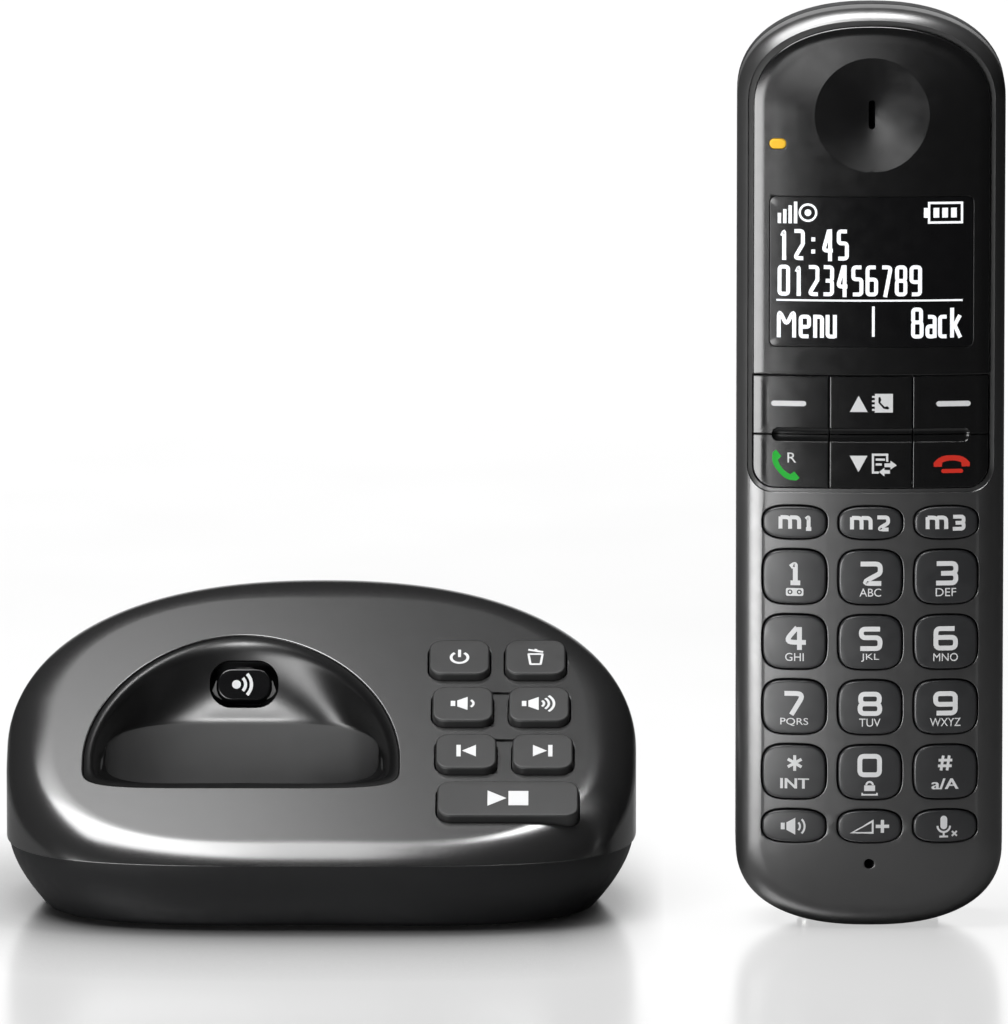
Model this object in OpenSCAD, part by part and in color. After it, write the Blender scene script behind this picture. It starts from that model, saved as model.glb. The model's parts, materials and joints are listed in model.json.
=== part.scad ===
// Cordless telephone set: an answering-machine base with a charging cradle, its handset upright beside it.
// Millimetres, X to the right, Y to the back, Z up. The origin is under the middle of the set, on the table.

/* [Base station] */
// Width of the base
base_w = 116.4; // [112:0.2:126]
// Reach of the base's plan in front of its widest line
base_front = 40.3; // [39:0.1:45]
// Reach of the base's plan behind its widest line
base_back = 38.4; // [37.4:0.1:45]
// Height of the seam between the base's two housings
seam_h = 12.8; // [11.8:0.1:14]
// Height of the sloping top face over the widest line
top_h = 36.9; // [36:0.1:41]
// Slope of the top face in degrees
top_slope = 29.8; // [28:0.1:31]
// Radius of the top face's edge at the front
edge_front = 6; // [5:0.1:7]
// Radius of the top face's edge at the back
edge_back = 12.6; // [10:0.1:14]
// How far the underside is drawn in from the widest outline
base_inset = 7.4; // [6:0.1:8]
// Step from the upper housing in to the lower one at the seam
seam_step = 0.5; // [0.2:0.1:1]
// Wall thickness of the base's housings
base_wall = 2.2; // [1.8:0.1:2.6]
// Height that the rubber feet stand out of the underside
foot_h = 0.7; // [0.4:0.1:1.5]
// Radius of a rubber foot
foot_r = 4.5; // [3:0.1:5]

/* [Cradle] */
// Distance of the well from the base's left end
well_margin = 14.5; // [14:0.1:16]
// Width of the well in the top face
well_w = 58.2; // [56:0.1:60]
// Reach of the well in front of its widest line
well_front = 7.9; // [7:0.1:8.5]
// Reach of the well behind its widest line
well_back = 35.6; // [33:0.1:37]
// Place of the well's widest line down the slope
well_down = 17.1; // [16:0.1:18]
// Lean of the docked handset in degrees
dock_lean = 18; // [15:0.1:20]
// Play around the docked handset
dock_play = 0.7; // [0.4:0.1:0.9]
// Depth to which the docked handset sinks in at the front
front_grip = 9; // [8:0.1:9.5]
// Height of the pocket's wall behind the docked handset
back_grip = 22.6; // [22:0.1:24]
// Wall thickness of the cradle cup
cup_wall = 1.6; // [1.2:0.1:2]
// Distance of each charging contact from the handset's middle plane
contact_x = 11; // [9:0.1:13]
// Distance of the charging contacts behind the handset's seam
contact_back = 4; // [3:0.1:5]
// Radius of a charging pin
pin_r = 1.1; // [0.8:0.05:1.4]
// Travel of the charging pins
pin_travel = 1; // [0.6:0.1:1.4]

/* [Base keys] */
// Distance of the first column of keys from the well
key_clear = 5.35; // [5:0.05:6]
// Distance of the first row of keys from the base's right end
key_margin = 13.05; // [12.8:0.05:14]
// Distance between the two keys of a row
key_split = 2.9; // [2.6:0.1:3.6]
// Height of a base key along the slope
base_key_h = 9.9; // [9:0.1:10.4]
// Corner radius of a base key
base_key_r = 2.5; // [1:0.1:4]
// How much wider the play key is than a row of two keys
play_wider = 0.7; // [0:0.1:1]
// Distance from one row of base keys to the next
base_pitch_s = 13.45; // [13:0.05:13.8]
// Middle of the first row, up the slope
first_row_s = 10.7; // [10:0.1:11]
// Step of each lower row to the right
row_step = 0.7; // [0:0.1:0.8]
// Rise of the base keys above the top face
base_key_rise = 1.4; // [0.8:0.1:2]
// Travel of the base keys
base_key_travel = 1; // [0.6:0.1:1.2]
// Depth of the shallow link between the two keys of a row
link_depth = 0.4; // [0.2:0.1:0.8]
// Width of the paging key
paging_w = 9.8; // [8:0.1:10.4]
// Height of the paging key
paging_h = 6; // [5:0.1:6.6]

/* [Handset] */
// Width of the handset
handset_w = 48.9; // [48.6:0.1:50]
// Length of the handset
handset_l = 170; // [168:0.2:178]
// Depth of the handset in front of its seam
handset_front = 11; // [10.6:0.1:12]
// Depth of the handset behind its seam
handset_rear = 13; // [12.8:0.1:14]
// Reach of the rounded top end
top_round = 16.5; // [14:0.1:19]
// Reach of the rounded bottom end
bottom_round = 15.6; // [14:0.1:18]
// Radius of the crown across the front
crown_r = 150; // [120:1:200]
// Width of the rounded edge at the front
front_edge = 5.2; // [4.6:0.1:5.6]
// Width of the rounded edge at the back
rear_edge = 9; // [8:0.1:9.4]
// Wall thickness of the handset at its seam
handset_wall = 2; // [1.6:0.1:2.1]
// Space between the base and the handset
set_gap = 18.2; // [6:0.2:60]
// Distance of the handset's seam in front of the middle of the set
handset_forward = 22; // [10:0.2:26]

/* [Handset face] */
// Inset of the fascia from the handset's outline
fascia_inset = 2.9; // [2.6:0.1:3.2]
// Reach of the black face down from the handset's top end
face_reach = 87.8; // [87:0.1:88.6]
// Height of the two rows of navigation keys, at the foot of the black face
nav_h = 20.8; // [20.2:0.1:21.4]
// Corner radius at the foot of the black face
face_corner = 4; // [2:0.1:5]
// Width of the display
display_w = 37; // [34:0.1:38]
// Distance of the display's upper edge below the handset's top end
display_top = 34; // [33.6:0.1:36]
// Distance of the display's lower edge above the navigation keys
display_above_nav = 5.4; // [5:0.1:7]
// Distance of the earpiece's middle below the handset's top end
earpiece_down = 19; // [18:0.1:20]
// Radius of the dish round the earpiece
dish_r = 10.4; // [9:0.1:11]
// Depth of the dish round the earpiece
dish_depth = 0.9; // [0.5:0.1:1.2]

/* [Handset keys] */
// Width of a handset key
key_w = 11.5; // [10.6:0.1:11.8]
// Height of a memory or bottom key
small_h = 5.9; // [5:0.1:6]
// Distance from one column of handset keys to the next
pitch_x = 13.82; // [13.7:0.02:13.9]
// Distance between two rows of keys
row_gap = 2.18; // [1.9:0.02:2.4]
// Distance of the memory keys' middle below the black face
memory_down = 6.3; // [6:0.1:6.5]
// Height of the bottom keys
bottom_y = 19.5; // [19.2:0.1:19.6]
// Rise of the handset keys above the front
key_rise = 0.7; // [0.4:0.1:1]
// Travel of the handset keys
key_travel = 0.8; // [0.5:0.1:0.9]

/* [Battery] */
// Radius of a battery cell
cell_r = 5.1; // [5:0.05:5.2]
// Length of a battery cell without its nub
cell_l = 43.5; // [42:0.1:44]
// Width of the battery door
door_w = 30; // [28:0.2:32]
// Length of the battery door
door_l = 62; // [60:0.2:64]
// Height of the battery door's lower edge
door_y = 21.8; // [21:0.1:23]

/* [Fits] */
// Gap round a key in its opening
key_gap = 0.25; // [0.2:0.05:0.3]
// Gap between a moving piece and what it stops short of
stop_gap = 0.2; // [0.15:0.05:0.3]
// Gap between pieces that are pushed together
fit_gap = 0.1; // [0.05:0.05:0.15]

/* [Hidden] */
$fn = 48;
plan_sides = 96;
lining_sides = 48;
cup_sides = 64;
cap_steps = 24;
key_sides = 40;
crown_sides = 360;
dish_sides = 96;

// Reach of cuts past what they cut, how far joined shapes run together, and a hair kept off half circles
past = 40;
sunk = 1;
hair = 0.01;

plan_front_square = 3.1;
plan_back_square = 2.09;
well_front_square = 5.5;
well_back_square = 1.9;
pocket_front_square = 4.5;
pocket_back_square = 3;
top_square = 2.25;
bottom_square = 2.4;
dial_square = 3.6;
small_square = 2.9;

shell_grey = "#54565b";
lower_grey = "#2a2b2e";
gloss_black = "#101114";
key_grey = "#3b3d42";
soft_grey = "#8b8d90";
board_green = "#2f5b3a";
metal = "#b9bcc0";
rubber_black = "#18181a";
lamp_amber = "#e29a1c";

board_t = 1.6;
mat_t = 0.8;
dome_h = 0.6;
dome_r = 2.4;
flange_t = 1;
flange_w = 1;

set_w = base_w + set_gap + handset_w;
base_x = (base_w - set_w) / 2;
handset_x = (set_w - handset_w) / 2;

// Signed power, for ovals that are squarer than an ellipse
function spow(v, p) = sign(v) * pow(abs(v), p);
function mix(a, b, f) = a + (b - a) * f;
function drawn_in(p, inset) = p * (1 - inset / norm(p));

// Oval with its own reach and squareness in front of and behind its widest line
function oval(half_w, front, back, front_square, back_square, sides) = [for (i = [0:sides - 1])
    let (t = 360 * i / sides, ahead = sin(t) < 0, n = ahead ? front_square : back_square)
    [half_w * spow(cos(t), 2 / n), (ahead ? front : back) * spow(sin(t), 2 / n)]];

// Closed skin through rings of equal counts, from the lowest up, with flat first and last rings
module loft(rings) {
    count = len(rings[0]);
    last = len(rings) - 1;
    sides = [for (k = [0:last - 1], i = [0:count - 1])
        let (j = (i + 1) % count, low = k * count, high = low + count)
        each [[low + i, high + i, high + j], [low + i, high + j, low + j]]];
    first_cap = [for (i = [0:count - 1]) i];
    last_cap = [for (i = [count - 1:-1:0]) last * count + i];
    polyhedron([for (ring = rings) each ring], concat(sides, [first_cap, last_cap]));
}

module rounded_rect(w, h, r) {
    square([w - 2 * r, h], center = true);
    square([w, h - 2 * r], center = true);
    for (x = [-1, 1], y = [-1, 1]) translate([x * (w / 2 - r), y * (h / 2 - r)]) circle(r);
}

module plate(low, high) translate([0, 0, low]) linear_extrude(high - low) children();

// Cradle and key block share the base's width between their margins
cradle_left = base_w / 2 - well_margin - well_w / 2;
well_right = well_w / 2 - cradle_left;
key_block_w = base_w / 2 - key_margin - well_right - key_clear;
base_key_w = (key_block_w - key_split) / 2;
base_pitch_x = base_key_w + key_split;
play_w = key_block_w + play_wider;
first_row_x = well_right + key_clear + key_block_w / 2;

// Base: plan, top plane and rounded edge

seam_land = 0.2;
skirt_curve = 1.6;
edge_steps = 7;
base_floor = foot_h + base_wall;

function plan(sides) = oval(base_w / 2, base_front, base_back, plan_front_square, plan_back_square, sides);
function top_z(y) = top_h + y * tan(top_slope);
function edge_r(p) = mix(edge_front, edge_back, (p.y + base_front) / (base_front + base_back));

// Angle of the edge's arc at the seam: more than 0 where the front is too low for the whole arc
function seam_angle(p) =
    let (r = edge_r(p), rise = seam_h + seam_land - top_z(p.y) + r,
        lean = -r * tan(top_slope) * p.y / norm(p))
    rise <= 0 ? 0 : asin((rise - lean) / norm([r, lean])) + atan2(lean, r);
function seam_inset(p) = edge_r(p) * (1 - cos(seam_angle(p)));

function edge_point(p, f, wall) =
    let (r = edge_r(p), t = mix(seam_angle(p), 90, f), q = drawn_in(p, r * (1 - cos(t)) + wall))
    [q.x, q.y, top_z(q.y) - r * (1 - sin(t)) - wall / cos(top_slope)];
function edge_rings(steps, wall, sides) =
    [for (k = [0:steps]) [for (p = plan(sides)) edge_point(p, k / steps, wall)]];
function plan_ring(z, wall, sides) =
    [for (p = plan(sides)) let (q = drawn_in(p, seam_inset(p) + wall)) [q.x, q.y, z]];

function skirt_ring(f, low, high, wall, sides) = [for (p = plan(sides))
    let (k = pow(1 - f, skirt_curve), q = drawn_in(p, mix(seam_inset(p) + seam_step, base_inset, k) + wall))
    [q.x, q.y, mix(low, high, f)]];

seam_front = base_front - seam_inset([0, -base_front]);
base_y = (seam_front - base_back) / 2;

module in_base() translate([base_x, base_y, 0]) children();
module on_top(x, s) translate([0, 0, top_h]) rotate([top_slope, 0, 0]) translate([x, s, 0]) children();
function top_point(x, s, n) =
    [x, s * cos(top_slope) - n * sin(top_slope), top_h + s * sin(top_slope) + n * cos(top_slope)];

// Base keys: name, place across and up the slope, width

function row_x(row) = first_row_x + row * row_step;
function row_s(row) = first_row_s - row * base_pitch_s;
function between_rows(row) = (row_s(row) + row_s(row + 1)) / 2;
pair_names = [["power_key", "delete_key"], ["volume_down_key", "volume_up_key"],
    ["previous_key", "next_key"]];
play_row = len(pair_names);
base_keys = concat(
    [for (row = [0:play_row - 1], side = [0, 1])
        [pair_names[row][side], row_x(row) + (side - 0.5) * base_pitch_x, row_s(row), base_key_w]],
    [["play_key", row_x(play_row), row_s(play_row), play_w]]);

flange_top = -base_wall - stop_gap;
flange_low = flange_top - flange_t;
base_dome_top = flange_low - base_key_travel - stop_gap;
base_mat_top = base_dome_top - dome_h;
base_mat_low = base_mat_top - mat_t;
base_board_low = base_mat_low - board_t;

// Depth of the key openings
key_well_low = -base_wall - base_key_travel - 2 * stop_gap;

// The plan inside a share of the rounded edge, where pieces under the top clear the housing's lining
skirt_share = 1;
mat_share = 0.4;
module clear_plan(share)
    polygon([for (p = plan(plan_sides)) drawn_in(p, base_wall + stop_gap + share * edge_r(p))]);

// Key board: rests on three posts of the upper housing, beside the keys
stake_r = 0.7;
post_r = 1.4;
post_gap = 0.6;
ear_edge = 0.6;
board_edge = 0.4;
board_head = 1.4;
pair_reach = (base_pitch_x + base_key_w) / 2 + flange_w + post_gap + post_r;
right_post_x = row_x(play_row - 1) + pair_reach;
key_board_posts = [[row_x(0) - pair_reach, between_rows(0)],
    [right_post_x, between_rows(0)], [right_post_x, between_rows(1)]];
key_board_left = row_x(play_row) - play_w / 2 - flange_w - board_edge;
key_board_right = row_x(play_row) + play_w / 2;
key_board_front = row_s(play_row) - base_key_h / 2 - board_edge;
key_board_back = row_s(0) + base_key_h / 2 + flange_w + board_head;

module key_board_field() translate([key_board_left, key_board_front])
    square([key_board_right - key_board_left, key_board_back - key_board_front]);

module key_board_outline() {
    key_board_field();
    for (p = key_board_posts) hull() {
        translate(p) circle(post_r + ear_edge);
        translate([(key_board_left + key_board_right) / 2, p.y]) circle(post_r + ear_edge);
    }
}

// Screw bosses of the base and what they pass
screw_head_r = 2.4;
screw_head_h = 1.6;
screw_r = 1.25;
screw_l = 12;
boss_r = 2.6;
boss_low = 7;
screw_seat = foot_h + 3.3;
boss_beside = 2.5;
left_boss_in = 23.2;
right_boss_in = 28.2;
foot_in = 20.2;
base_bosses = [[well_right + boss_beside, -26.5], [left_boss_in - base_w / 2, 17],
    [base_w / 2 - right_boss_in, 24]];
foot_places = [[foot_in - base_w / 2, -20], [base_w / 2 - foot_in, -20], [-22, 23], [22, 23]];
foot_sink = 1;
foot_taper = 0.5;

// Main board: a wing under the keys and a strip behind the cradle
main_board_z = seam_h + 1.2;
right_post_in = 15.2;
left_post_in = 32.2;
main_board_posts = [[base_w / 2 - right_post_in, 12], [left_post_in - base_w / 2, 25], [8, 26]];
main_post_r = 2.2;
wing_beside = 5.5;
wing_x = well_right + wing_beside;
wing_front = -12;
strip_y = 12;
strip_right = wing_x + sunk;
board_clear = 1;

// Loudspeaker and its slots in the floor
speaker_in = 25.4;
base_speaker_at = [base_w / 2 - speaker_in, -4];
base_speaker_r = 14;
speaker_rim_h = 2.4;
speaker_cone_h = 2;
cone_w = 6;
magnet_r = base_speaker_r - cone_w;
magnet_h = 3;
speaker_ring_t = 1.4;
speaker_ring_h = 3;
slot_pitch = 3.6;
slot_w = 1.6;
slot_l = 16;
slot_shorter = 2;
slots_each_side = 2;

// Sockets in the back
jack_face_y = base_back - 1.8;
jack_depth = 15;
line_jack_x = -8;
line_jack_w = 13;
line_jack_h = 11.4;
line_slot_w = 9.8;
line_slot_h = 6.8;
line_slot_depth = 11;
power_jack_x = 11;
power_jack_w = 9.4;
power_nose_r = 4.2;
power_bore_r = 2.9;
power_bore_l = 10;
power_pin_r = 0.95;
power_jack_h = power_jack_w + 0.5;
power_body_l = jack_depth - base_wall - 2;
power_axis_z = main_board_z + board_t + power_jack_h - power_jack_w / 2;

module base_upper_housing() color(shell_grey) in_base() difference() {
    union() {
        difference() {
            loft(concat([plan_ring(seam_h, 0, plan_sides)], edge_rings(edge_steps, 0, plan_sides)));
            loft(concat([plan_ring(0, base_wall, lining_sides)], edge_rings(3, base_wall, lining_sides)));
        }
        for (p = base_bosses) translate([p.x, p.y, boss_low])
            cylinder(r = boss_r, h = top_z(p.y - boss_r) - base_wall / 2 - boss_low);
        for (p = key_board_posts) on_top(p.x, p.y) {
            translate([0, 0, base_mat_low]) cylinder(r = post_r, h = -base_mat_low - base_wall / 2);
            translate([0, 0, base_board_low]) cylinder(r = stake_r, h = board_t + sunk);
        }
    }
    on_top(-cradle_left, -well_down) plate(-past / 4, past / 4) polygon(well(0));
    loft([floor_ring(cup_wall + fit_gap, -cup_wall), rim_ring(cup_wall + fit_gap)]);
    for (key = base_keys) on_top(key[1], key[2]) plate(key_well_low, past)
        rounded_rect(key[3] + 2 * key_gap, base_key_h + 2 * key_gap, base_key_r + key_gap);
    for (row = [1:play_row - 1]) on_top(row_x(row), row_s(row)) plate(-link_depth, past)
        square([base_pitch_x, base_key_h], center = true);
    for (p = base_bosses) translate([p.x, p.y, boss_low - sunk])
        cylinder(r = screw_r + fit_gap / 2, h = screw_l);
    translate([line_jack_x - line_jack_w / 2 - key_gap, base_back / 2, main_board_z + board_t - key_gap])
        cube([line_jack_w + 2 * key_gap, base_back, line_jack_h + 2 * key_gap]);
    translate([power_jack_x, base_back / 2, power_axis_z]) rotate([-90, 0, 0])
        cylinder(r = power_nose_r + key_gap, h = base_back);
}

module base_lower_housing() color(lower_grey) in_base() difference() {
    union() {
        difference() {
            loft([for (k = [0:5]) skirt_ring(k / 5, foot_h, seam_h, 0, plan_sides)]);
            loft([for (k = [0:3]) skirt_ring(k / 3, base_floor, seam_h + sunk, base_wall, lining_sides)]);
        }
        for (p = base_bosses) translate([p.x, p.y, base_floor - sunk])
            cylinder(r = boss_r + sunk, h = boss_low - base_floor + sunk);
        for (p = main_board_posts) translate([p.x, p.y, base_floor - sunk])
            cylinder(r = main_post_r, h = main_board_z - base_floor + sunk);
        translate([base_speaker_at.x, base_speaker_at.y, base_floor]) difference() {
            translate([0, 0, -sunk])
                cylinder(r = base_speaker_r + fit_gap + speaker_ring_t, h = speaker_ring_h + sunk);
            cylinder(r = base_speaker_r + fit_gap, h = past);
        }
    }
    for (p = base_bosses) translate([p.x, p.y, 0]) {
        cylinder(r = screw_r + key_gap, h = past);
        cylinder(r = screw_head_r + key_gap, h = screw_seat);
    }
    for (p = foot_places) translate([p.x, p.y, 0]) cylinder(r = foot_r + fit_gap, h = foot_h + foot_sink);
    for (k = [-slots_each_side:slots_each_side])
        translate([base_speaker_at.x + k * slot_pitch, base_speaker_at.y]) plate(0, base_floor + sunk)
            rounded_rect(slot_w, slot_l - slot_shorter * abs(k), slot_w / 2 - hair);
}

// Cradle: the well in the top face narrows in a hollow sweep to the pocket that holds the leaning handset

pocket_w = handset_w + 2 * dock_play;
pocket_d = handset_front + handset_rear + 2 * dock_play;
cup_drop = 0.3;
front_lip = 3.2;
rim_below = 1.5;
hollow = 0.14;
hollow_limit = 1.2;
cup_flange_w = 2.4;
cup_flange_t = 1.6;
cup_flange_top = -base_wall - fit_gap;
dock_up = [0, sin(dock_lean), cos(dock_lean)];
dock_to_back = [0, cos(dock_lean), -sin(dock_lean)];
dock_floor = top_point(-cradle_left, -well_down - well_front + front_lip, 0)
    + dock_to_back * pocket_d / 2 - dock_up * front_grip;

function well(grow) = oval(well_w / 2 + grow, well_front + grow, well_back + grow,
    well_front_square, well_back_square, cup_sides);
function pocket(grow) = oval(pocket_w / 2 + grow, pocket_d / 2 + grow, pocket_d / 2 + grow,
    pocket_front_square, pocket_back_square, cup_sides);
function dock_point(p, up) = dock_floor + [p.x, 0, 0] + dock_to_back * p.y + dock_up * up;
function rim_up(p) = mix(front_grip - rim_below, back_grip, p.y / pocket_d + 0.5);

function well_ring(grow, n) = [for (p = well(grow)) top_point(p.x - cradle_left, p.y - well_down, n)];
function rim_ring(grow) = [for (p = pocket(grow)) dock_point(p, rim_up(p))];
function floor_ring(grow, up) = [for (p = pocket(grow)) dock_point(p, up)];

// Point on the sweep from the pocket's rim up to the well's edge, hollowed but never past that edge
function sweep_point(low, high, f) =
    let (along = high - low, level = [along.x, along.y, 0], reach = norm(level))
    mix(low, high, f) + (reach < hair ? [0, 0, 0]
        : hollow * sin(180 * f) * (level * min(along.z / reach, hollow_limit) - [0, 0, reach]));
function sweep_rings(lows, highs) =
    [for (f = [0.2:0.2:0.8]) [for (i = [0:cup_sides - 1]) sweep_point(lows[i], highs[i], f)]];

cup_edge = -fit_gap;
cup_inner_edge = cup_edge - cup_wall;
back_point = cup_sides / 4;
paging_low = rim_ring(0)[back_point];
paging_high = well_ring(cup_inner_edge, -cup_drop)[back_point];
paging_at = sweep_point(paging_low, paging_high, 0.5);
paging_tilt = atan2(paging_high.z - paging_low.z, paging_high.y - paging_low.y);

// Paging key: the recess in the cup's back wall, and the switch on posts behind it
paging_round = 0.43;
paging_r = paging_round * paging_h;
paging_recess = 1;
paging_pad = paging_recess + cup_wall;
paging_flange_low = -paging_pad - stop_gap - flange_t;
paging_switch_top = paging_flange_low - base_key_travel - stop_gap;
switch_h = 0.7;
paging_board_top = paging_switch_top - switch_h;
paging_board_t = 1.2;
paging_post_gap = 0.8;
paging_post_x = paging_w / 2 + flange_w + post_r + paging_post_gap;
paging_border = 1.5;
paging_pad_edge = 2;
paging_pad_h = paging_h + 2 * flange_w + 2 * paging_pad_edge;
paging_board_edge = 2.5;
paging_board_h = paging_h + 2 * paging_board_edge;
paging_board_corner = 1;
switch_w = 6;
switch_corner = 0.6;

module at_paging() translate(paging_at) rotate([paging_tilt, 0, 0]) children();
module at_dock(x, v, up) translate(dock_point([x, v], up)) rotate([-dock_lean, 0, 0]) children();

pin_spring_l = 2.8;
pin_boss_l = stop_gap + flange_t + pin_travel + pin_spring_l;
pin_boss_wall = 1.2;
pin_flange_w = 0.8;
pin_flange_r = pin_r + pin_flange_w;
pin_flange_top = -cup_wall - stop_gap;
pin_proud = 0.4;
pin_up = pin_travel + pin_proud;
dock_contact_v = contact_back + (handset_front - handset_rear) / 2;

module cradle_cup() color(gloss_black) in_base() difference() {
    union() {
        loft(concat([floor_ring(cup_wall, -cup_wall), rim_ring(cup_wall)],
            sweep_rings(rim_ring(cup_wall), well_ring(cup_edge, -cup_drop)),
            [well_ring(cup_edge, -cup_drop)]));
        on_top(-cradle_left, -well_down) plate(cup_flange_top - cup_flange_t, cup_flange_top)
            polygon(well(cup_flange_w));
        at_paging() {
            plate(-paging_pad, past / 10) rounded_rect(2 * (paging_post_x + post_r), paging_pad_h, paging_r);
            for (side = [-1, 1]) translate([side * paging_post_x, 0, paging_board_top])
                cylinder(r = post_r, h = -paging_board_top);
        }
        for (side = [-1, 1]) at_dock(side * contact_x, dock_contact_v, -cup_wall - pin_boss_l)
            cylinder(r = pin_flange_r + key_gap + pin_boss_wall, h = pin_boss_l + cup_wall / 2);
    }
    loft(concat([floor_ring(0, 0), rim_ring(0)],
        sweep_rings(rim_ring(0), well_ring(cup_inner_edge, -cup_drop)),
        [well_ring(cup_inner_edge, -cup_drop), well_ring(cup_inner_edge, past / 10)]));
    at_paging() {
        plate(-paging_recess, past / 4) rounded_rect(paging_w + 2 * paging_border,
            paging_h + 2 * paging_border, paging_r + paging_border);
        plate(-past / 4, past / 4)
            rounded_rect(paging_w + 2 * key_gap, paging_h + 2 * key_gap, paging_r + key_gap);
    }
    for (side = [-1, 1]) at_dock(side * contact_x, dock_contact_v, -cup_wall) {
        translate([0, 0, -sunk]) cylinder(r = pin_r + fit_gap, h = past / 4);
        translate([0, 0, -pin_boss_l - sunk]) cylinder(r = pin_flange_r + key_gap, h = pin_boss_l + sunk);
    }
}

module paging_key() color(gloss_black) in_base() at_paging() {
    plate(paging_flange_low, stop_gap) rounded_rect(paging_w, paging_h, paging_r);
    plate(paging_flange_low, paging_flange_low + flange_t)
        rounded_rect(paging_w + 2 * flange_w, paging_h + 2 * flange_w, paging_r + flange_w);
}

module paging_switch() color(board_green) in_base() at_paging() {
    plate(paging_board_top - paging_board_t, paging_board_top)
        rounded_rect(2 * (paging_post_x + post_r), paging_board_h, paging_board_corner);
    plate(paging_board_top, paging_switch_top) rounded_rect(switch_w, switch_w, switch_corner);
}

module charging_pins() color(metal) in_base() for (side = [-1, 1])
    at_dock(side * contact_x, dock_contact_v, 0) {
        translate([0, 0, pin_flange_top - flange_t])
            cylinder(r = pin_r, h = pin_up - pin_flange_top + flange_t);
        translate([0, 0, pin_up]) sphere(pin_r);
        translate([0, 0, pin_flange_top - flange_t]) cylinder(r = pin_flange_r, h = flange_t);
    }

module base_key(key) color(key_grey) in_base() {
    on_top(key[1], key[2]) plate(-base_wall, base_key_rise) rounded_rect(key[3], base_key_h, base_key_r);
    intersection() {
        on_top(key[1], key[2]) {
            plate(flange_low, -base_wall) rounded_rect(key[3], base_key_h, base_key_r);
            plate(flange_low, flange_top)
                rounded_rect(key[3] + 2 * flange_w, base_key_h + 2 * flange_w, base_key_r + flange_w);
        }
        plate(0, 2 * past) clear_plan(skirt_share);
    }
}

module base_keypad_mat() color(soft_grey) in_base() intersection() {
    on_top(0, 0) {
        plate(base_mat_low, base_mat_top) key_board_field();
        for (key = base_keys) translate([key[1], key[2], base_mat_low])
            cylinder(r = dome_r, h = mat_t + dome_h);
    }
    plate(0, 2 * past) clear_plan(mat_share);
}

module base_key_board() color(board_green) in_base() intersection() {
    on_top(0, 0) plate(base_board_low, base_mat_low) difference() {
        key_board_outline();
        for (p = key_board_posts) translate(p) circle(stake_r + fit_gap);
    }
    plate(0, 2 * past) clear_plan(mat_share);
}

module base_main_board() color(board_green) in_base()
    plate(main_board_z, main_board_z + board_t) difference() {
        intersection() {
            union() {
                translate([wing_x, wing_front]) square([base_w / 2, base_back - wing_front]);
                translate([-base_w / 2, strip_y]) square([base_w / 2 + strip_right, base_back]);
            }
            polygon([for (p = plan(lining_sides)) drawn_in(p, base_wall + board_clear)]);
        }
        for (p = base_bosses) translate(p) circle(boss_r + board_clear / 2);
    }

module base_speaker() color(rubber_black) in_base()
    translate([base_speaker_at.x, base_speaker_at.y, base_floor]) {
        cylinder(r = base_speaker_r, h = speaker_rim_h);
        translate([0, 0, speaker_rim_h]) {
            cylinder(r1 = base_speaker_r - speaker_ring_t, r2 = magnet_r, h = speaker_cone_h);
            cylinder(r = magnet_r, h = speaker_cone_h + magnet_h);
        }
    }

module line_jack() color(rubber_black) in_base()
    translate([line_jack_x, jack_face_y, main_board_z + board_t]) difference() {
        translate([-line_jack_w / 2, -jack_depth, 0]) cube([line_jack_w, jack_depth, line_jack_h]);
        translate([-line_slot_w / 2, -line_slot_depth, (line_jack_h - line_slot_h) / 2])
            cube([line_slot_w, past, line_slot_h]);
    }

module power_jack() color(rubber_black) in_base() {
    difference() {
        union() {
            translate([power_jack_x - power_jack_w / 2, jack_face_y - jack_depth, main_board_z + board_t])
                cube([power_jack_w, power_body_l, power_jack_h]);
            translate([power_jack_x, jack_face_y - jack_depth / 2, power_axis_z]) rotate([-90, 0, 0])
                cylinder(r = power_nose_r, h = jack_depth / 2);
        }
        translate([power_jack_x, jack_face_y - power_bore_l, power_axis_z]) rotate([-90, 0, 0])
            cylinder(r = power_bore_r, h = past);
    }
    translate([power_jack_x, jack_face_y - power_bore_l - sunk, power_axis_z]) rotate([-90, 0, 0])
        cylinder(r = power_pin_r, h = power_bore_l);
}

module base_screws() color(metal) in_base() for (p = base_bosses) translate([p.x, p.y, screw_seat]) {
    translate([0, 0, -screw_head_h]) cylinder(r = screw_head_r, h = screw_head_h);
    cylinder(r = screw_r, h = screw_l);
}

module rubber_feet() color(rubber_black) in_base() for (p = foot_places) translate([p.x, p.y, 0])
    cylinder(r1 = foot_r - foot_taper, r2 = foot_r, h = foot_h + foot_sink);

// Handset: X across, Y up from its lower end, Z out of its face, with its seam at Z = 0

seam_groove = 0.3;
side_h = 4.8;
rear_side_h = 4;
crown_rear_r = 280;
front_ceiling = 7;
fascia_seat = 8.4;
mid_gap = 0.5;

// Heights along the handset
nav_low_h = 9.9;
lamp_down = 24.3;
upper_screw_down = 31.6;
ringer_down = 49;
face_low = handset_l - face_reach;
fascia_low = face_low + nav_h;
nav_mid = face_low + nav_low_h;
display_h = face_reach - nav_h - display_top - display_above_nav;
display_y = handset_l - display_top - display_h / 2;
earpiece_y = handset_l - earpiece_down;
ringer_y = handset_l - ringer_down;
memory_y = face_low - memory_down;

module in_handset() translate([handset_x, -handset_forward, 0]) rotate([90, 0, 0]) children();

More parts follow.
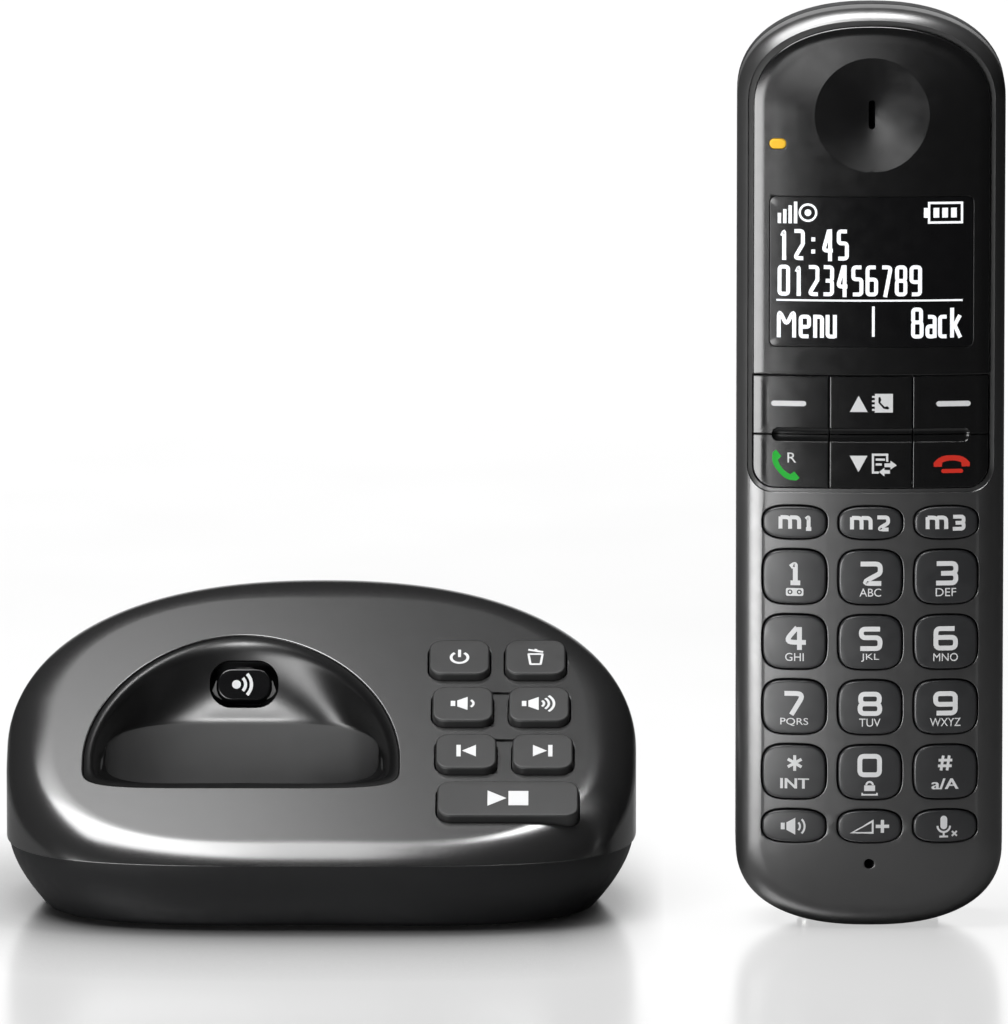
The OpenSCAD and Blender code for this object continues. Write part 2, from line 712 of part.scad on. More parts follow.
// Outline of the handset drawn in by an inset, at one depth
function handset_ring(inset, z) = [for (end = [1, -1], i = [0:cap_steps])
    let (t = 180 * i / cap_steps, half = handset_w / 2 - inset, n = end > 0 ? top_square : bottom_square,
        cap = (end > 0 ? top_round : bottom_round) * half / (handset_w / 2),
        rise = cap * pow(sin(t), 2 / n))
    [end * half * spow(cos(t), 2 / n), end > 0 ? handset_l - inset - cap + rise : inset + cap - rise, z]];
function handset_outline(inset) = [for (p = handset_ring(inset, 0)) [p.x, p.y]];

// Inset and depth of each ring of a half: seam groove, straight side, rounded edge, crown
function half_profile(side, edge, depth, crown) =
    let (crown_at = function (inset) depth - pow(handset_w / 2 - inset, 2) / (2 * crown),
        top = crown_at(edge))
    concat([[seam_groove, 0], [0, seam_groove], [0, side]],
        [for (t = [15:15:90]) [edge * (1 - cos(t)), mix(side, top, sin(t))]],
        [for (f = [0.25:0.25:0.75]) let (inset = mix(edge, handset_w / 2, f)) [inset, crown_at(inset)]],
        [[handset_w / 2 - mid_gap, depth]]);
front_profile = half_profile(side_h, front_edge, handset_front, crown_r);
rear_profile = half_profile(rear_side_h, rear_edge, handset_rear, crown_rear_r);

module half_form(profile) loft([for (s = profile) handset_ring(s[0], s[1])]);
module front_form() half_form(front_profile);
module rear_form() mirror([0, 0, 1]) half_form(rear_profile);

// The front's section between its rounded ends, run along the handset
module front_run(low, high) translate([0, high, 0]) rotate([90, 0, 0]) linear_extrude(high - low)
    polygon(concat([for (s = front_profile) [handset_w / 2 - s[0], s[1]]],
        [for (k = [len(front_profile) - 1:-1:0]) let (s = front_profile[k]) [s[0] - handset_w / 2, s[1]]]));

// The black face: the handset's outline above a straight lower edge with round corners
module face_outline(inset, low) intersection() {
    polygon(handset_outline(inset));
    translate([0, low + handset_l / 2]) rounded_rect(handset_w - 2 * inset, handset_l, face_corner);
}

module key_outline(w, h, square, grow) {
    half_h = h / 2 + grow;
    polygon(oval(w / 2 + grow, half_h, half_h, square, square, key_sides));
}

// Handset keys: name, column, height of the middle, height of the key, squareness
dial_names = [["star", "0", "hash"], ["7", "8", "9"], ["4", "5", "6"], ["1", "2", "3"]];
dial_rows = len(dial_names);
dial_h = (memory_y - bottom_y - small_h - (dial_rows + 1) * row_gap) / dial_rows;
dial_y = bottom_y + (small_h + dial_h) / 2 + row_gap;
pitch_y = dial_h + row_gap;
bottom_names = ["speaker_key", "boost_key", "mute_key"];
handset_keys = concat(
    [for (c = [0:2]) [str("memory_key_", c + 1), c - 1, memory_y, small_h, small_square]],
    [for (row = [dial_rows - 1:-1:0], c = [0:2])
        [str("dial_key_", dial_names[row][c]), c - 1, dial_y + row * pitch_y, dial_h, dial_square]],
    [for (c = [0:2]) [bottom_names[c], c - 1, bottom_y, small_h, small_square]]);

// Navigation keys: name, column, row counted from the lower one
nav_names = [["talk_key", "down_key", "end_key"], ["soft_left_key", "up_key", "soft_right_key"]];
nav_keys = [for (row = [1, 0], c = [0:2]) [nav_names[row][c], c - 1, row]];
nav_w = handset_w - 2 * fascia_inset;
nav_mid_w = 15.2;
nav_groove_w = 36;
nav_groove_h = 2.4;
nav_groove_depth = 0.5;

key_flange_w = 0.7;
key_flange_top = front_ceiling - stop_gap;
key_flange_low = key_flange_top - flange_t;
dome_top = key_flange_low - key_travel - stop_gap;
mat_top = dome_top - dome_h;
mat_low = mat_top - mat_t;
board_low = mat_low - board_t;
mat_edge = 3;
mat_bottom = bottom_y - small_h / 2 - key_flange_w;
mat_head = fascia_low + key_flange_w;

function column_x(key) = key[1] * pitch_x;
function nav_x(c) = c * (nav_mid_w / 2 + (nav_w / 2 - nav_mid_w / 2) / 2);
function nav_y(row) = row > 0 ? (nav_mid + fascia_low) / 2 : (face_low + nav_mid) / 2;

// Board posts of the front, screw bosses and the openings behind the face
post_in = 11.5;
post_above_nav = 2.8;
low_post_x = 8.5;
nav_post_x = 18;
top_post_x = 11;
board_posts = [for (side = [-1, 1]) each [[side * low_post_x, post_in],
    [side * nav_post_x, fascia_low + post_above_nav], [side * top_post_x, handset_l - post_in]]];
board_post_r = 1.6;
low_screw_x = 14.4;
low_screw_y = 11.6;
upper_screw_x = 15.5;
handset_screws_at = [for (side = [-1, 1])
    each [[side * low_screw_x, low_screw_y], [side * upper_screw_x, handset_l - upper_screw_down]]];
handset_boss_r = 2.2;
handset_screw_r = 0.9;
handset_pilot_l = 4.5;
handset_screw_head_r = 1.9;
handset_screw_head_h = 1.4;
handset_screw_l = 8;
rear_seat = -5;
display_corner = 1.1;
display_border = 1.6;
display_body_w = display_w - 2 * display_border;
display_body_h = display_h - 2 * display_border;
lamp_left = 17.1;
lamp_at = [-lamp_left, handset_l - lamp_down];
lamp_w = 3;
lamp_h = 1.8;
earpiece_slot_w = 1.2;
earpiece_slot_h = 5.3;
receiver_r = 8;
receiver_t = 2.6;
mic_y = 12.4;
mic_hole_r = 0.9;
mic_r = 2.8;

module earpiece_slot() translate([0, earpiece_y])
    rounded_rect(earpiece_slot_w, earpiece_slot_h, earpiece_slot_w / 2 - hair);

module lamp_outline(grow) translate(lamp_at)
    rounded_rect(lamp_w + 2 * grow, lamp_h + 2 * grow, lamp_h / 2 + grow - hair);

// The crown across the front, raised by some height
module crown_form(rise) translate([0, handset_l, handset_front + rise - crown_r]) rotate([90, 0, 0])
    cylinder(r = crown_r, h = handset_l, $fn = crown_sides);

module handset_front_housing() color(shell_grey) in_handset() difference() {
    union() {
        difference() {
            front_form();
            plate(-sunk, front_ceiling) polygon(handset_outline(handset_wall));
        }
        for (p = board_posts) translate([p.x, p.y, mat_low])
            cylinder(r = board_post_r, h = front_ceiling - mat_low + sunk / 2);
        for (p = handset_screws_at) translate([p.x, p.y, 0])
            cylinder(r = handset_boss_r, h = front_ceiling + sunk / 2);
    }
    plate(fascia_seat, past) face_outline(fascia_inset - fit_gap, face_low - fit_gap);
    plate(-sunk, past) intersection() {
        face_outline(fascia_inset - fit_gap, face_low - fit_gap);
        translate([-handset_w / 2, 0]) square([handset_w, fascia_low]);
    }
    translate([0, display_y]) plate(0, past)
        square([display_body_w + 2 * key_gap, display_body_h + 2 * key_gap], center = true);
    plate(0, past) earpiece_slot();
    plate(0, past) lamp_outline(fit_gap);
    for (key = handset_keys) translate([column_x(key), key[2]]) plate(0, past)
        key_outline(key_w, key[3], key[4], key_gap);
    translate([0, mic_y, 0]) cylinder(r = mic_hole_r, h = past);
    for (p = handset_screws_at) translate([p.x, p.y, -sunk])
        cylinder(r = handset_screw_r + fit_gap / 2, h = sunk + handset_pilot_l);
}

module handset_fascia() color(gloss_black) in_handset() difference() {
    intersection() {
        front_form();
        plate(fascia_seat, past) intersection() {
            polygon(handset_outline(fascia_inset));
            translate([-handset_w / 2, fascia_low + key_gap / 2]) square([handset_w, handset_l]);
        }
    }
    translate([0, display_y]) plate(0, past)
        rounded_rect(display_w + 2 * fit_gap, display_h + 2 * fit_gap, display_corner + fit_gap);
    plate(0, past) earpiece_slot();
    let (ball = (dish_r * dish_r + dish_depth * dish_depth) / (2 * dish_depth))
        translate([0, earpiece_y, handset_front - dish_depth + ball]) sphere(ball, $fn = dish_sides);
    plate(0, past) lamp_outline(fit_gap);
}

module display_module() color(gloss_black) in_handset() {
    intersection() {
        translate([0, display_y]) plate(fascia_seat, past) rounded_rect(display_w, display_h, display_corner);
        crown_form(0);
    }
    translate([0, display_y]) plate(mat_low, fascia_seat)
        square([display_body_w, display_body_h], center = true);
}

module event_lamp() color(lamp_amber) in_handset()
    plate(mat_low, handset_front - lamp_at.x * lamp_at.x / (2 * crown_r) + fit_gap) lamp_outline(0);

module nav_key(key) color(gloss_black) in_handset() {
    w = key[1] == 0 ? nav_mid_w - key_gap : nav_w / 2 - nav_mid_w / 2 - key_gap / 2;
    low = key[2] > 0 ? nav_mid + key_gap / 2 : face_low;
    high = key[2] > 0 ? fascia_low - key_gap / 2 : nav_mid - key_gap / 2;
    lip_y = key[2] > 0 ? high : low;
    difference() {
        intersection() {
            plate(key_flange_low, past) intersection() {
                face_outline(fascia_inset + key_gap / 2, face_low + key_gap / 2);
                translate([key[1] * (nav_mid_w + w + key_gap) / 2 - w / 2, low]) square([w, high - low]);
            }
            front_run(face_low - sunk, fascia_low + sunk);
        }
        translate([0, nav_mid]) plate(handset_front - nav_groove_depth, past)
            rounded_rect(nav_groove_w, nav_groove_h, nav_groove_h / 2 - hair);
    }
    translate([nav_x(key[1]), lip_y]) plate(key_flange_low, key_flange_top)
        square([nav_mid_w / 2, 2 * (key_flange_w + key_gap)], center = true);
}

module handset_key(key) color(key_grey) in_handset() {
    intersection() {
        translate([column_x(key), key[2]]) plate(key_flange_low, past) key_outline(key_w, key[3], key[4], 0);
        crown_form(key_rise);
    }
    translate([column_x(key), key[2]]) plate(key_flange_low, key_flange_top)
        key_outline(key_w, key[3], key[4], key_flange_w);
}

module handset_keypad_mat() color(soft_grey) in_handset() {
    plate(mat_low, mat_top) intersection() {
        polygon(handset_outline(mat_edge));
        translate([-handset_w / 2, mat_bottom]) square([handset_w, mat_head - mat_bottom]);
    }
    for (key = handset_keys) translate([column_x(key), key[2], mat_low])
        cylinder(r = dome_r, h = mat_t + dome_h);
    for (key = nav_keys) translate([nav_x(key[1]), nav_y(key[2]), mat_low])
        cylinder(r = dome_r, h = mat_t + dome_h);
}

module handset_board() color(board_green) in_handset() plate(board_low, mat_low) difference() {
    polygon(handset_outline(mat_edge));
    for (p = handset_screws_at) translate(p) circle(handset_boss_r + key_gap);
}

module earpiece_receiver() color(metal) in_handset() translate([0, earpiece_y, front_ceiling - receiver_t])
    cylinder(r = receiver_r, h = receiver_t);

module microphone() color(metal) in_handset() translate([0, mic_y, mat_low])
    cylinder(r = mic_r, h = front_ceiling - mat_low);

// Rear of the handset: battery bay, door, loudspeaker behind a grille, charging pads at the lower end

bay_gap = 0.5;
bay_wall = 1.2;
contact_t = 0.6;
cell_nub_r = 1.9;
cell_nub_l = 1;
spring_l = 5.8;
spring_foot_r = 3.6;
spring_head_r = 2;
contact_in = 0.6;
contact_r = cell_r - contact_in;
door_t = 1.7;
bay_w = 4 * cell_r + 4 * bay_gap;
bay_l = cell_l + cell_nub_l + spring_l + 2 * contact_t;
bay_low = door_y + (door_l - bay_l) / 2;
door_inner = door_t - handset_rear;
cell_z = door_inner + fit_gap + cell_r;
bay_ceiling = cell_z + cell_r + fit_gap;
door_gap = 0.3;
door_corner = 3;
door_round = door_t / 2;
door_roll_l = door_w - 2 * door_corner;
rear_floor = -9.5;
rear_step = -5.5;
rear_lining = 5.5;
ringer_r = 10;
ringer_t = 4;
grille_pitch = 3;
grille_w = 1.4;
grille_l = 12;
pad_r = 2;
pad_l = 4.6;
pad_low = 0.6;

module at_cells() for (side = [-1, 1])
    translate([side * (cell_r + bay_gap), bay_low, cell_z]) children();

module handset_rear_housing() color(lower_grey) in_handset() difference() {
    union() {
        difference() {
            rear_form();
            plate(rear_step, sunk) polygon(handset_outline(handset_wall));
            plate(rear_floor, sunk) polygon(handset_outline(rear_lining));
        }
        translate([0, bay_low + bay_l / 2]) plate(rear_floor - sunk, bay_ceiling + bay_wall)
            square([bay_w + 2 * bay_wall, bay_l + 2 * bay_wall], center = true);
        for (p = handset_screws_at) translate([p.x, p.y, rear_floor - sunk])
            cylinder(r = handset_boss_r + sunk, h = sunk - rear_floor);
    }
    translate([0, bay_low + bay_l / 2]) plate(-past, bay_ceiling) square([bay_w, bay_l], center = true);
    translate([0, door_y + door_l / 2]) plate(-past, door_inner)
        rounded_rect(door_w + 2 * door_gap, door_l + 2 * door_gap, door_corner + door_gap);
    for (p = handset_screws_at) translate([p.x, p.y, -past]) {
        cylinder(r = handset_screw_r + key_gap, h = 2 * past);
        cylinder(r = handset_screw_head_r + key_gap, h = past + rear_seat);
    }
    for (k = [-slots_each_side:slots_each_side]) translate([k * grille_pitch, ringer_y])
        plate(-past, rear_floor + sunk)
            rounded_rect(grille_w, grille_l - slot_shorter * abs(k), grille_w / 2 - hair);
    for (side = [-1, 1]) translate([side * contact_x, -sunk, -contact_back]) rotate([-90, 0, 0])
        cylinder(r = pad_r + fit_gap, h = sunk + pad_low + pad_l + fit_gap);
}

// The door tilts out on its rolled lower edge
module battery_door() color(lower_grey) in_handset() intersection() {
    rear_form();
    union() {
        translate([0, door_y + door_l / 2]) plate(-past, door_inner) intersection() {
            rounded_rect(door_w, door_l, door_corner);
            translate([0, door_round]) square([door_w, door_l], center = true);
        }
        translate([-door_roll_l / 2, door_y + door_round, door_inner - door_round]) rotate([0, 90, 0])
            cylinder(r = door_round, h = door_roll_l);
    }
}

module battery_cells() color(soft_grey) in_handset() at_cells() {
    translate([0, contact_t + spring_l, 0]) rotate([-90, 0, 0]) cylinder(r = cell_r, h = cell_l);
    translate([0, contact_t + spring_l + cell_l, 0]) rotate([-90, 0, 0])
        cylinder(r = cell_nub_r, h = cell_nub_l);
}

module battery_contacts() color(metal) in_handset() at_cells() {
    rotate([-90, 0, 0]) cylinder(r = contact_r, h = contact_t);
    translate([0, contact_t, 0]) rotate([-90, 0, 0])
        cylinder(r1 = spring_foot_r, r2 = spring_head_r, h = spring_l);
    translate([0, bay_l - contact_t, 0]) rotate([-90, 0, 0]) cylinder(r = contact_r, h = contact_t);
}

module handset_loudspeaker() color(rubber_black) in_handset() translate([0, ringer_y, rear_floor])
    cylinder(r = ringer_r, h = ringer_t);

module handset_charging_pads() color(metal) in_handset() for (side = [-1, 1])
    translate([side * contact_x, pad_low, -contact_back]) rotate([-90, 0, 0]) cylinder(r = pad_r, h = pad_l);

module handset_screws() color(metal) in_handset()
    for (p = handset_screws_at) translate([p.x, p.y, rear_seat]) {
        translate([0, 0, -handset_screw_head_h]) cylinder(r = handset_screw_head_r, h = handset_screw_head_h);
        cylinder(r = handset_screw_r, h = handset_screw_l);
    }

base_upper_housing();
base_lower_housing();
cradle_cup();
paging_key();
paging_switch();
charging_pins();
base_keypad_mat();
base_key_board();
base_main_board();
base_speaker();
line_jack();
power_jack();
base_screws();
rubber_feet();
for (key = base_keys) base_key(key);
handset_front_housing();
handset_rear_housing();
handset_fascia();
display_module();
event_lamp();
handset_keypad_mat();
handset_board();
earpiece_receiver();
microphone();
handset_loudspeaker();
battery_cells();
battery_contacts();
battery_door();
handset_charging_pads();
handset_screws();
for (key = nav_keys) nav_key(key);
for (key = handset_keys) handset_key(key);
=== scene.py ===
"""Looks of a cordless telephone set: moulded plastics, printed legends, display, light and camera."""

import json
import math

import bpy
from mathutils import Matrix, Vector
from mathutils.geometry import tessellate_polygon


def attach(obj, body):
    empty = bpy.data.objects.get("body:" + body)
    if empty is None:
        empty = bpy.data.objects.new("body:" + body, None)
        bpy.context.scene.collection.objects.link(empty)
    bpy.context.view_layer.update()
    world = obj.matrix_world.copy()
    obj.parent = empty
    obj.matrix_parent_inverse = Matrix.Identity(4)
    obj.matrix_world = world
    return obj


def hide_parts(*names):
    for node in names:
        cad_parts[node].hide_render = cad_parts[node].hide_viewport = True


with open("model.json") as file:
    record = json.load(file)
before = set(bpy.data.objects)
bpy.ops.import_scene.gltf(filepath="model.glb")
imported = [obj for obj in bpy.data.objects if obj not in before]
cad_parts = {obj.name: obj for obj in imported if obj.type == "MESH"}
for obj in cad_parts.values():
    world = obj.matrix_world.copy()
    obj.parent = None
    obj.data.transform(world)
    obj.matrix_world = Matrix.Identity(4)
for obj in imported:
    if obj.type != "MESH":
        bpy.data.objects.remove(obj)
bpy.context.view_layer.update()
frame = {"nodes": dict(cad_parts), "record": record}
nodes = frame["nodes"]

# Lengths are in millimetres; those that the solids have too are the same, except the depth of the dish.
# Lamps, floor and camera are in metres.
MM = 0.001
SHARP_ANGLE = math.radians(32)
BASE_W, BASE_FRONT, BASE_BACK = 116.4, 40.3, 38.4
SEAM_H, SEAM_LAND, SEAM_STEP, TOP_H, TOP_SLOPE = 12.8, 0.2, 0.5, 36.9, math.radians(29.8)
EDGE_FRONT, EDGE_BACK, BASE_INSET, BASE_WALL, FOOT_H = 6, 12.6, 7.4, 2.2, 0.7
BASE_X, BASE_Y = -33.55, 0.0931
CRADLE_LEFT, WELL_W, WELL_FRONT, WELL_BACK, WELL_DOWN = 14.6, 58.2, 7.9, 35.6, 17.1
LEAN, CUP_WALL, FRONT_GRIP, BACK_GRIP, RIM_BELOW, FRONT_LIP = math.radians(18), 1.6, 9, 22.6, 1.5, 3.2
POCKET_W, POCKET_D, CUP_DROP, HOLLOW, HOLLOW_LIMIT = 50.3, 25.4, 0.3, 0.14, 1.2
CONTACT_X, CONTACT_V, PIN_R, PIN_CUT, RIM_MARGIN = 11, 3, 1.1, (-4, 4), 0.4
BASE_KEY_W, BASE_KEY_H, BASE_KEY_R, BASE_KEY_RISE, PLAY_W = 11.2, 9.9, 2.5, 1.4, 26
BASE_PITCH_X, BASE_PITCH_S, FIRST_ROW_X, FIRST_ROW_S, ROW_STEP = 14.1, 13.45, 32.5, 10.7, 0.7
KEY_WELL_LOW, LINK_DEPTH = -3.6, 0.4
PAGING_W, PAGING_H, PAGING_R, PAGING_RECESS, PAGING_BORDER = 9.8, 6, 2.58, 1, 1.5
PAGING_SKIRT, PAGING_RISE, PAGING_PAST = -3.8, 0.2, 9
HANDSET_W, HANDSET_L, HANDSET_FRONT, CROWN_R, SEAM_GROOVE, HANDSET_WALL = 48.9, 170, 11, 150, 0.3, 2
TOP_ROUND, BOTTOM_ROUND, TOP_SQUARE, BOTTOM_SQUARE = 16.5, 15.6, 2.25, 2.4
# Straight side, rounded edge, depth and crown radius of the handset's halves
FRONT_HALF, REAR_HALF = (4.8, 5.2, HANDSET_FRONT, CROWN_R), (4, 9, 13, 280)
HANDSET_X, HANDSET_FORWARD = 67.3, 22
FASCIA_INSET, FACE_LOW, FASCIA_LOW, FACE_CORNER, FASCIA_SEAT = 2.9, 82.2, 103, 4, 8.4
DISPLAY_W, DISPLAY_H, DISPLAY_Y, DISPLAY_R = 37, 27.6, 122.2, 1.1
EARPIECE_Y, DISH_R, DISH_DEPTH, DISH_LIP, SLOT_W, SLOT_H = 151, 10.4, 1.24, 0.08, 1.2, 5.3
LAMP_X, LAMP_Y, LAMP_W, LAMP_H = -17.1, 145.7, 3, 1.8
KEY_W, DIAL_H, SMALL_H, PITCH_X, PITCH_Y = 11.5, 9.9, 5.9, 13.82, 12.08
DIAL_Y, MEMORY_Y, BOTTOM_Y, KEY_RISE, KEY_LOW = 29.58, 75.9, 19.5, 0.7, 5.8
DIAL_SQUARE, SMALL_SQUARE, KEY_SINK, KEY_DOME = 3.6, 2.9, 0.1, 0.12
NAV_MID, NAV_MID_W, NAV_CORNER, NAV_GROOVE_W, NAV_GROOVE_H = 92.1, 15.2, 0.12, 36, 2.4
MIC_Y, MIC_R, FRONT_CEILING = 12.4, 0.9, 7
DOOR_W, DOOR_L, DOOR_Y, DOOR_CORNER, DOOR_INNER, DOOR_GAP = 30, 62, 21.8, 3, 11.3, 0.3
SCREWS_AT = [(-14.4, 11.6), (14.4, 11.6), (-15.5, 138.4), (15.5, 138.4)]
BOSSES_AT = [(17, -26.5), (-35, 17), (30, 24)]
FEET_AT = [(-38, -20), (38, -20), (-22, 23), (22, 23)]
BOSS_R, BOSS_TOP, FOOT_R, FOOT_SEAT = 2.65, 4, 4.6, 1
SCREW_HEAD_R, SCREW_SEAT, PAD_R, PAD_Z, PAD_CUT = 2.15, 5, 2.1, 4, (-3, 5.3)
BAY_W, BAY_L, BAY_CORNER, BAY_LOW = 22.4, 51.5, 0.4, 0.9
# Slot width, longest slot, pitch and middle of the two grilles
BASE_GRILLE, HANDSET_GRILLE = (1.6, 16, 3.6, 32.8, -4), (1.4, 12, 3, 0, 121)
FACE_RIM, FACE_LIP, FACE_STEP = 1.95, 0.65, 0.35
KEY_GAP, FIT_GAP = 0.25, 0.1
# Squareness of three ovals, in front of and behind their widest line, and curve of the lower housing's side
PLAN_SQUARE, WELL_SQUARE, POCKET_SQUARE, SKIRT_CURVE = (3.1, 2.09), (5.5, 1.9), (4.5, 3), 1.6
# Height past every face, for cutters that go right through
PAST = 40
# Width, height, corner radius and place of the line jack's and power jack's openings, and reach of their cuts
JACKS, JACK_CUT = [(13.5, 11.9, 0.4, -8, 21.3), (8.9, 8.9, 4.44, 11, 20.8)], (60, 20)
# Share of the way to a cap's middle line that its last ring goes
NEAR_SPINE = 0.985
# Width added and depth of each ring of a softened edge, in shares of its size
EDGE_STEPS = [(0, 1.5), (0.25, 0.6), (0.6, 0.25), (1.5, 0)]
# Width added to the cradle's mouth and height over the top, ring by ring
MOUTH_STEPS = [(0, -8), (0, -0.4), (0.05, -0.16), (0.16, -0.05), (0.4, 0.02), (0.4, 8)]
# Share of the way up and inset of the rings that round the lower edge of the base
SKIRT_STEPS = [(0, 0.8), (0.008, 0.35), (0.03, 0.08)] + [(k / 14, 0) for k in range(1, 15)]
# Height of print over its surface, and the step between its layers and their number
INK, INK_LAYER, INK_LAYERS = 0.05, 0.004, 4
replaced_nodes = set()


# Shapes

def spow(value, power):
    return math.copysign(abs(value) ** power, value)


def mix(a, b, f):
    return a + (b - a) * f


def drawn_in(p, inset):
    return p * (1 - inset / p.length)


def oval(half_w, front, back, front_square, back_square, sides):
    """Oval with its own reach and squareness in front of and behind its widest line."""
    points = []
    for i in range(sides):
        t = 2 * math.pi * i / sides
        reach, square = (front, front_square) if math.sin(t) < 0 else (back, back_square)
        points.append(Vector((half_w * spow(math.cos(t), 2 / square),
                              reach * spow(math.sin(t), 2 / square))))
    return points


def circle(r, sides, x=0.0, y=0.0):
    return [p + Vector((x, y)) for p in oval(r, r, r, 2, 2, sides)]


def rounded_rect(w, h, r, x=0.0, y=0.0, step=1.2, arc=8):
    """Rectangle with round corners, its sides divided to follow a curved face; r may be four radii."""
    radii = r if isinstance(r, (list, tuple)) else [r] * 4
    corners = [(1, -1, -90), (1, 1, 0), (-1, 1, 90), (-1, -1, 180)]
    points = []
    for (sx, sy, start), radius in zip(corners, radii):
        centre = Vector((x + sx * (w / 2 - radius), y + sy * (h / 2 - radius)))
        for k in range(arc + 1):
            a = math.radians(start + 90 * k / arc)
            points.append(centre + radius * Vector((math.cos(a), math.sin(a))))
    return divided(points, step)


def divided(points, step):
    """A closed outline with every side longer than step cut into equal pieces."""
    result = []
    for i, p in enumerate(points):
        q = points[(i + 1) % len(points)]
        if (q - p).length < 1e-5:
            continue
        parts = max(1, math.ceil((q - p).length / step))
        result += [p.lerp(q, k / parts) for k in range(parts)]
    return result


def key_outline(w, h, square, x, y, sides=64):
    return [p + Vector((x, y)) for p in oval(w / 2, h / 2, h / 2, square, square, sides)]


def grown(outline, grow):
    """A counter-clockwise outline moved outwards."""
    count = len(outline)
    result = []
    for i, p in enumerate(outline):
        before = (p - outline[i - 1]).normalized()
        after = (outline[(i + 1) % count] - p).normalized()
        out = Vector((before.y + after.y, -before.x - after.x))
        out = out.normalized() if out.length > 1e-6 else Vector((before.y, -before.x))
        slant = max(0.5, out.dot(Vector((before.y, -before.x))))
        result.append(p + out * (grow / slant))
    return result


def at_height(outline, z):
    """Ring over an outline, at one height or at the height that a function gives."""
    return [Vector((p.x, p.y, z(p.x, p.y) if callable(z) else z)) for p in outline]


def below(surface, depth):
    """A surface sunk by a depth."""
    return lambda x, y: surface(x, y) - depth


def new_object(name, points, faces):
    mesh = bpy.data.meshes.new(name)
    mesh.from_pydata([tuple(p) for p in points], [], faces)
    mesh.validate()
    made = bpy.data.objects.new(name, mesh)
    bpy.context.scene.collection.objects.link(made)
    return made


def lofts(name, bundles, closed=False):
    """Skins, each through rings of equal counts from the lowest up, as one object.

    Each ends in flat faces, or runs round to its first ring.
    """
    points, faces = [], []
    for rings in bundles:
        start, count = len(points), len(rings[0])
        points += [p for ring in rings for p in ring]
        for k in range(len(rings) if closed else len(rings) - 1):
            low = start + k * count
            high = start + (k + 1) % len(rings) * count
            for i in range(count):
                j = (i + 1) % count
                faces.append((low + i, low + j, high + j, high + i))
        if not closed:
            faces.append(tuple(start + i for i in reversed(range(count))))
            faces.append(tuple(high + i for i in range(count)))
    return new_object(name, points, faces)


def bent(a, b, c, steps):
    """Rings that round the corner from ring a by ring b to ring c."""
    rings = []
    for k in range(steps + 1):
        t = k / steps
        rings.append([p * (1 - t) ** 2 + q * (2 * t * (1 - t)) + r * t ** 2 for p, q, r in zip(a, b, c)])
    return rings


def settle(piece, place, body, material, slot, *stood_for):
    """Puts a finished piece in its place on a body, smooth except at its sharp edges."""
    mesh = piece.data
    mesh.transform(Matrix.Scale(MM, 4) @ place)
    if place.determinant() < 0:
        mesh.flip_normals()
    mesh.polygons.foreach_set("use_smooth", [True] * len(mesh.polygons))
    mesh.set_sharp_from_angle(angle=SHARP_ANGLE)
    even = piece.modifiers.new("even_normals", "WEIGHTED_NORMAL")
    even.keep_sharp = True
    mesh.materials.clear()
    mesh.materials.append(material)
    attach(piece, body)
    if stood_for:
        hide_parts(*stood_for)
        replaced_nodes.update(stood_for)


def cut(target, *cutters):
    """Takes the cutters out of the target for good."""
    for cutter in cutters:
        modifier = target.modifiers.new("cut", "BOOLEAN")
        modifier.operation = "DIFFERENCE"
        modifier.solver = "EXACT"
        modifier.object = cutter
    graph = bpy.context.evaluated_depsgraph_get()
    target.data = bpy.data.meshes.new_from_object(target.evaluated_get(graph))
    target.modifiers.clear()
    for cutter in cutters:
        bpy.data.objects.remove(cutter)
    return target


def prism(outline, low, high):
    return [at_height(outline, low), at_height(outline, high)]


def block(name, outline, low, high):
    return lofts(name, [prism(outline, low, high)])


def slot_row(w, longest, pitch, x, y):
    """Outlines of five slots side by side, shorter towards both ends."""
    return [rounded_rect(w, longest - 2 * abs(k), w / 2 - 0.01, x + pitch * k, y) for k in range(-2, 3)]


def opening(outline, gap, low, surface, soften):
    """Rings of a cutter through a surface, widened where it leaves so that the edge is rounded."""
    rings = [at_height(grown(outline, gap), low)]
    for wide, depth in EDGE_STEPS:
        rings.append(at_height(grown(outline, gap + wide * soften), below(surface, depth * soften)))
    rings.append(at_height(grown(outline, gap + 1.5 * soften), below(surface, -3)))
    return rings


def cap_form(outline, low, surface, fillet, spine, steps=10, arc=5):
    """Rings of a piece on a flat underside, with a rounded edge and a top that follows a surface."""
    rings = [at_height(outline, low)]
    for k in range(arc + 1):
        a = math.pi / 2 * k / arc
        inset, depth = fillet * (1 - math.cos(a)), fillet * (1 - math.sin(a))
        rings.append(at_height(grown(outline, -inset), below(surface, depth)))
    inner = grown(outline, -fillet)
    for k in range(1, steps + 1):
        f = k / steps * NEAR_SPINE
        rings.append(at_height([p.lerp(spine(p), f) for p in inner], surface))
    return rings


# Base station: plan, sloping top and rounded edge

def plan(sides):
    return oval(BASE_W / 2, BASE_FRONT, BASE_BACK, *PLAN_SQUARE, sides)


def top_z(y):
    return TOP_H + y * math.tan(TOP_SLOPE)


def edge_r(p):
    return mix(EDGE_FRONT, EDGE_BACK, (p.y + BASE_FRONT) / (BASE_FRONT + BASE_BACK))


def seam_angle(p):
    r = edge_r(p)
    rise = SEAM_H + SEAM_LAND - top_z(p.y) + r
    lean = -r * math.tan(TOP_SLOPE) * p.y / p.length
    if rise <= 0:
        return 0
    return math.asin((rise - lean) / math.hypot(r, lean)) + math.atan2(lean, r)


def seam_inset(p):
    return edge_r(p) * (1 - math.cos(seam_angle(p)))


def edge_point(p, f, wall):
    r = edge_r(p)
    t = mix(seam_angle(p), math.pi / 2, f)
    q = drawn_in(p, r * (1 - math.cos(t)) + wall)
    return Vector((q.x, q.y, top_z(q.y) - r * (1 - math.sin(t)) - wall / math.cos(TOP_SLOPE)))


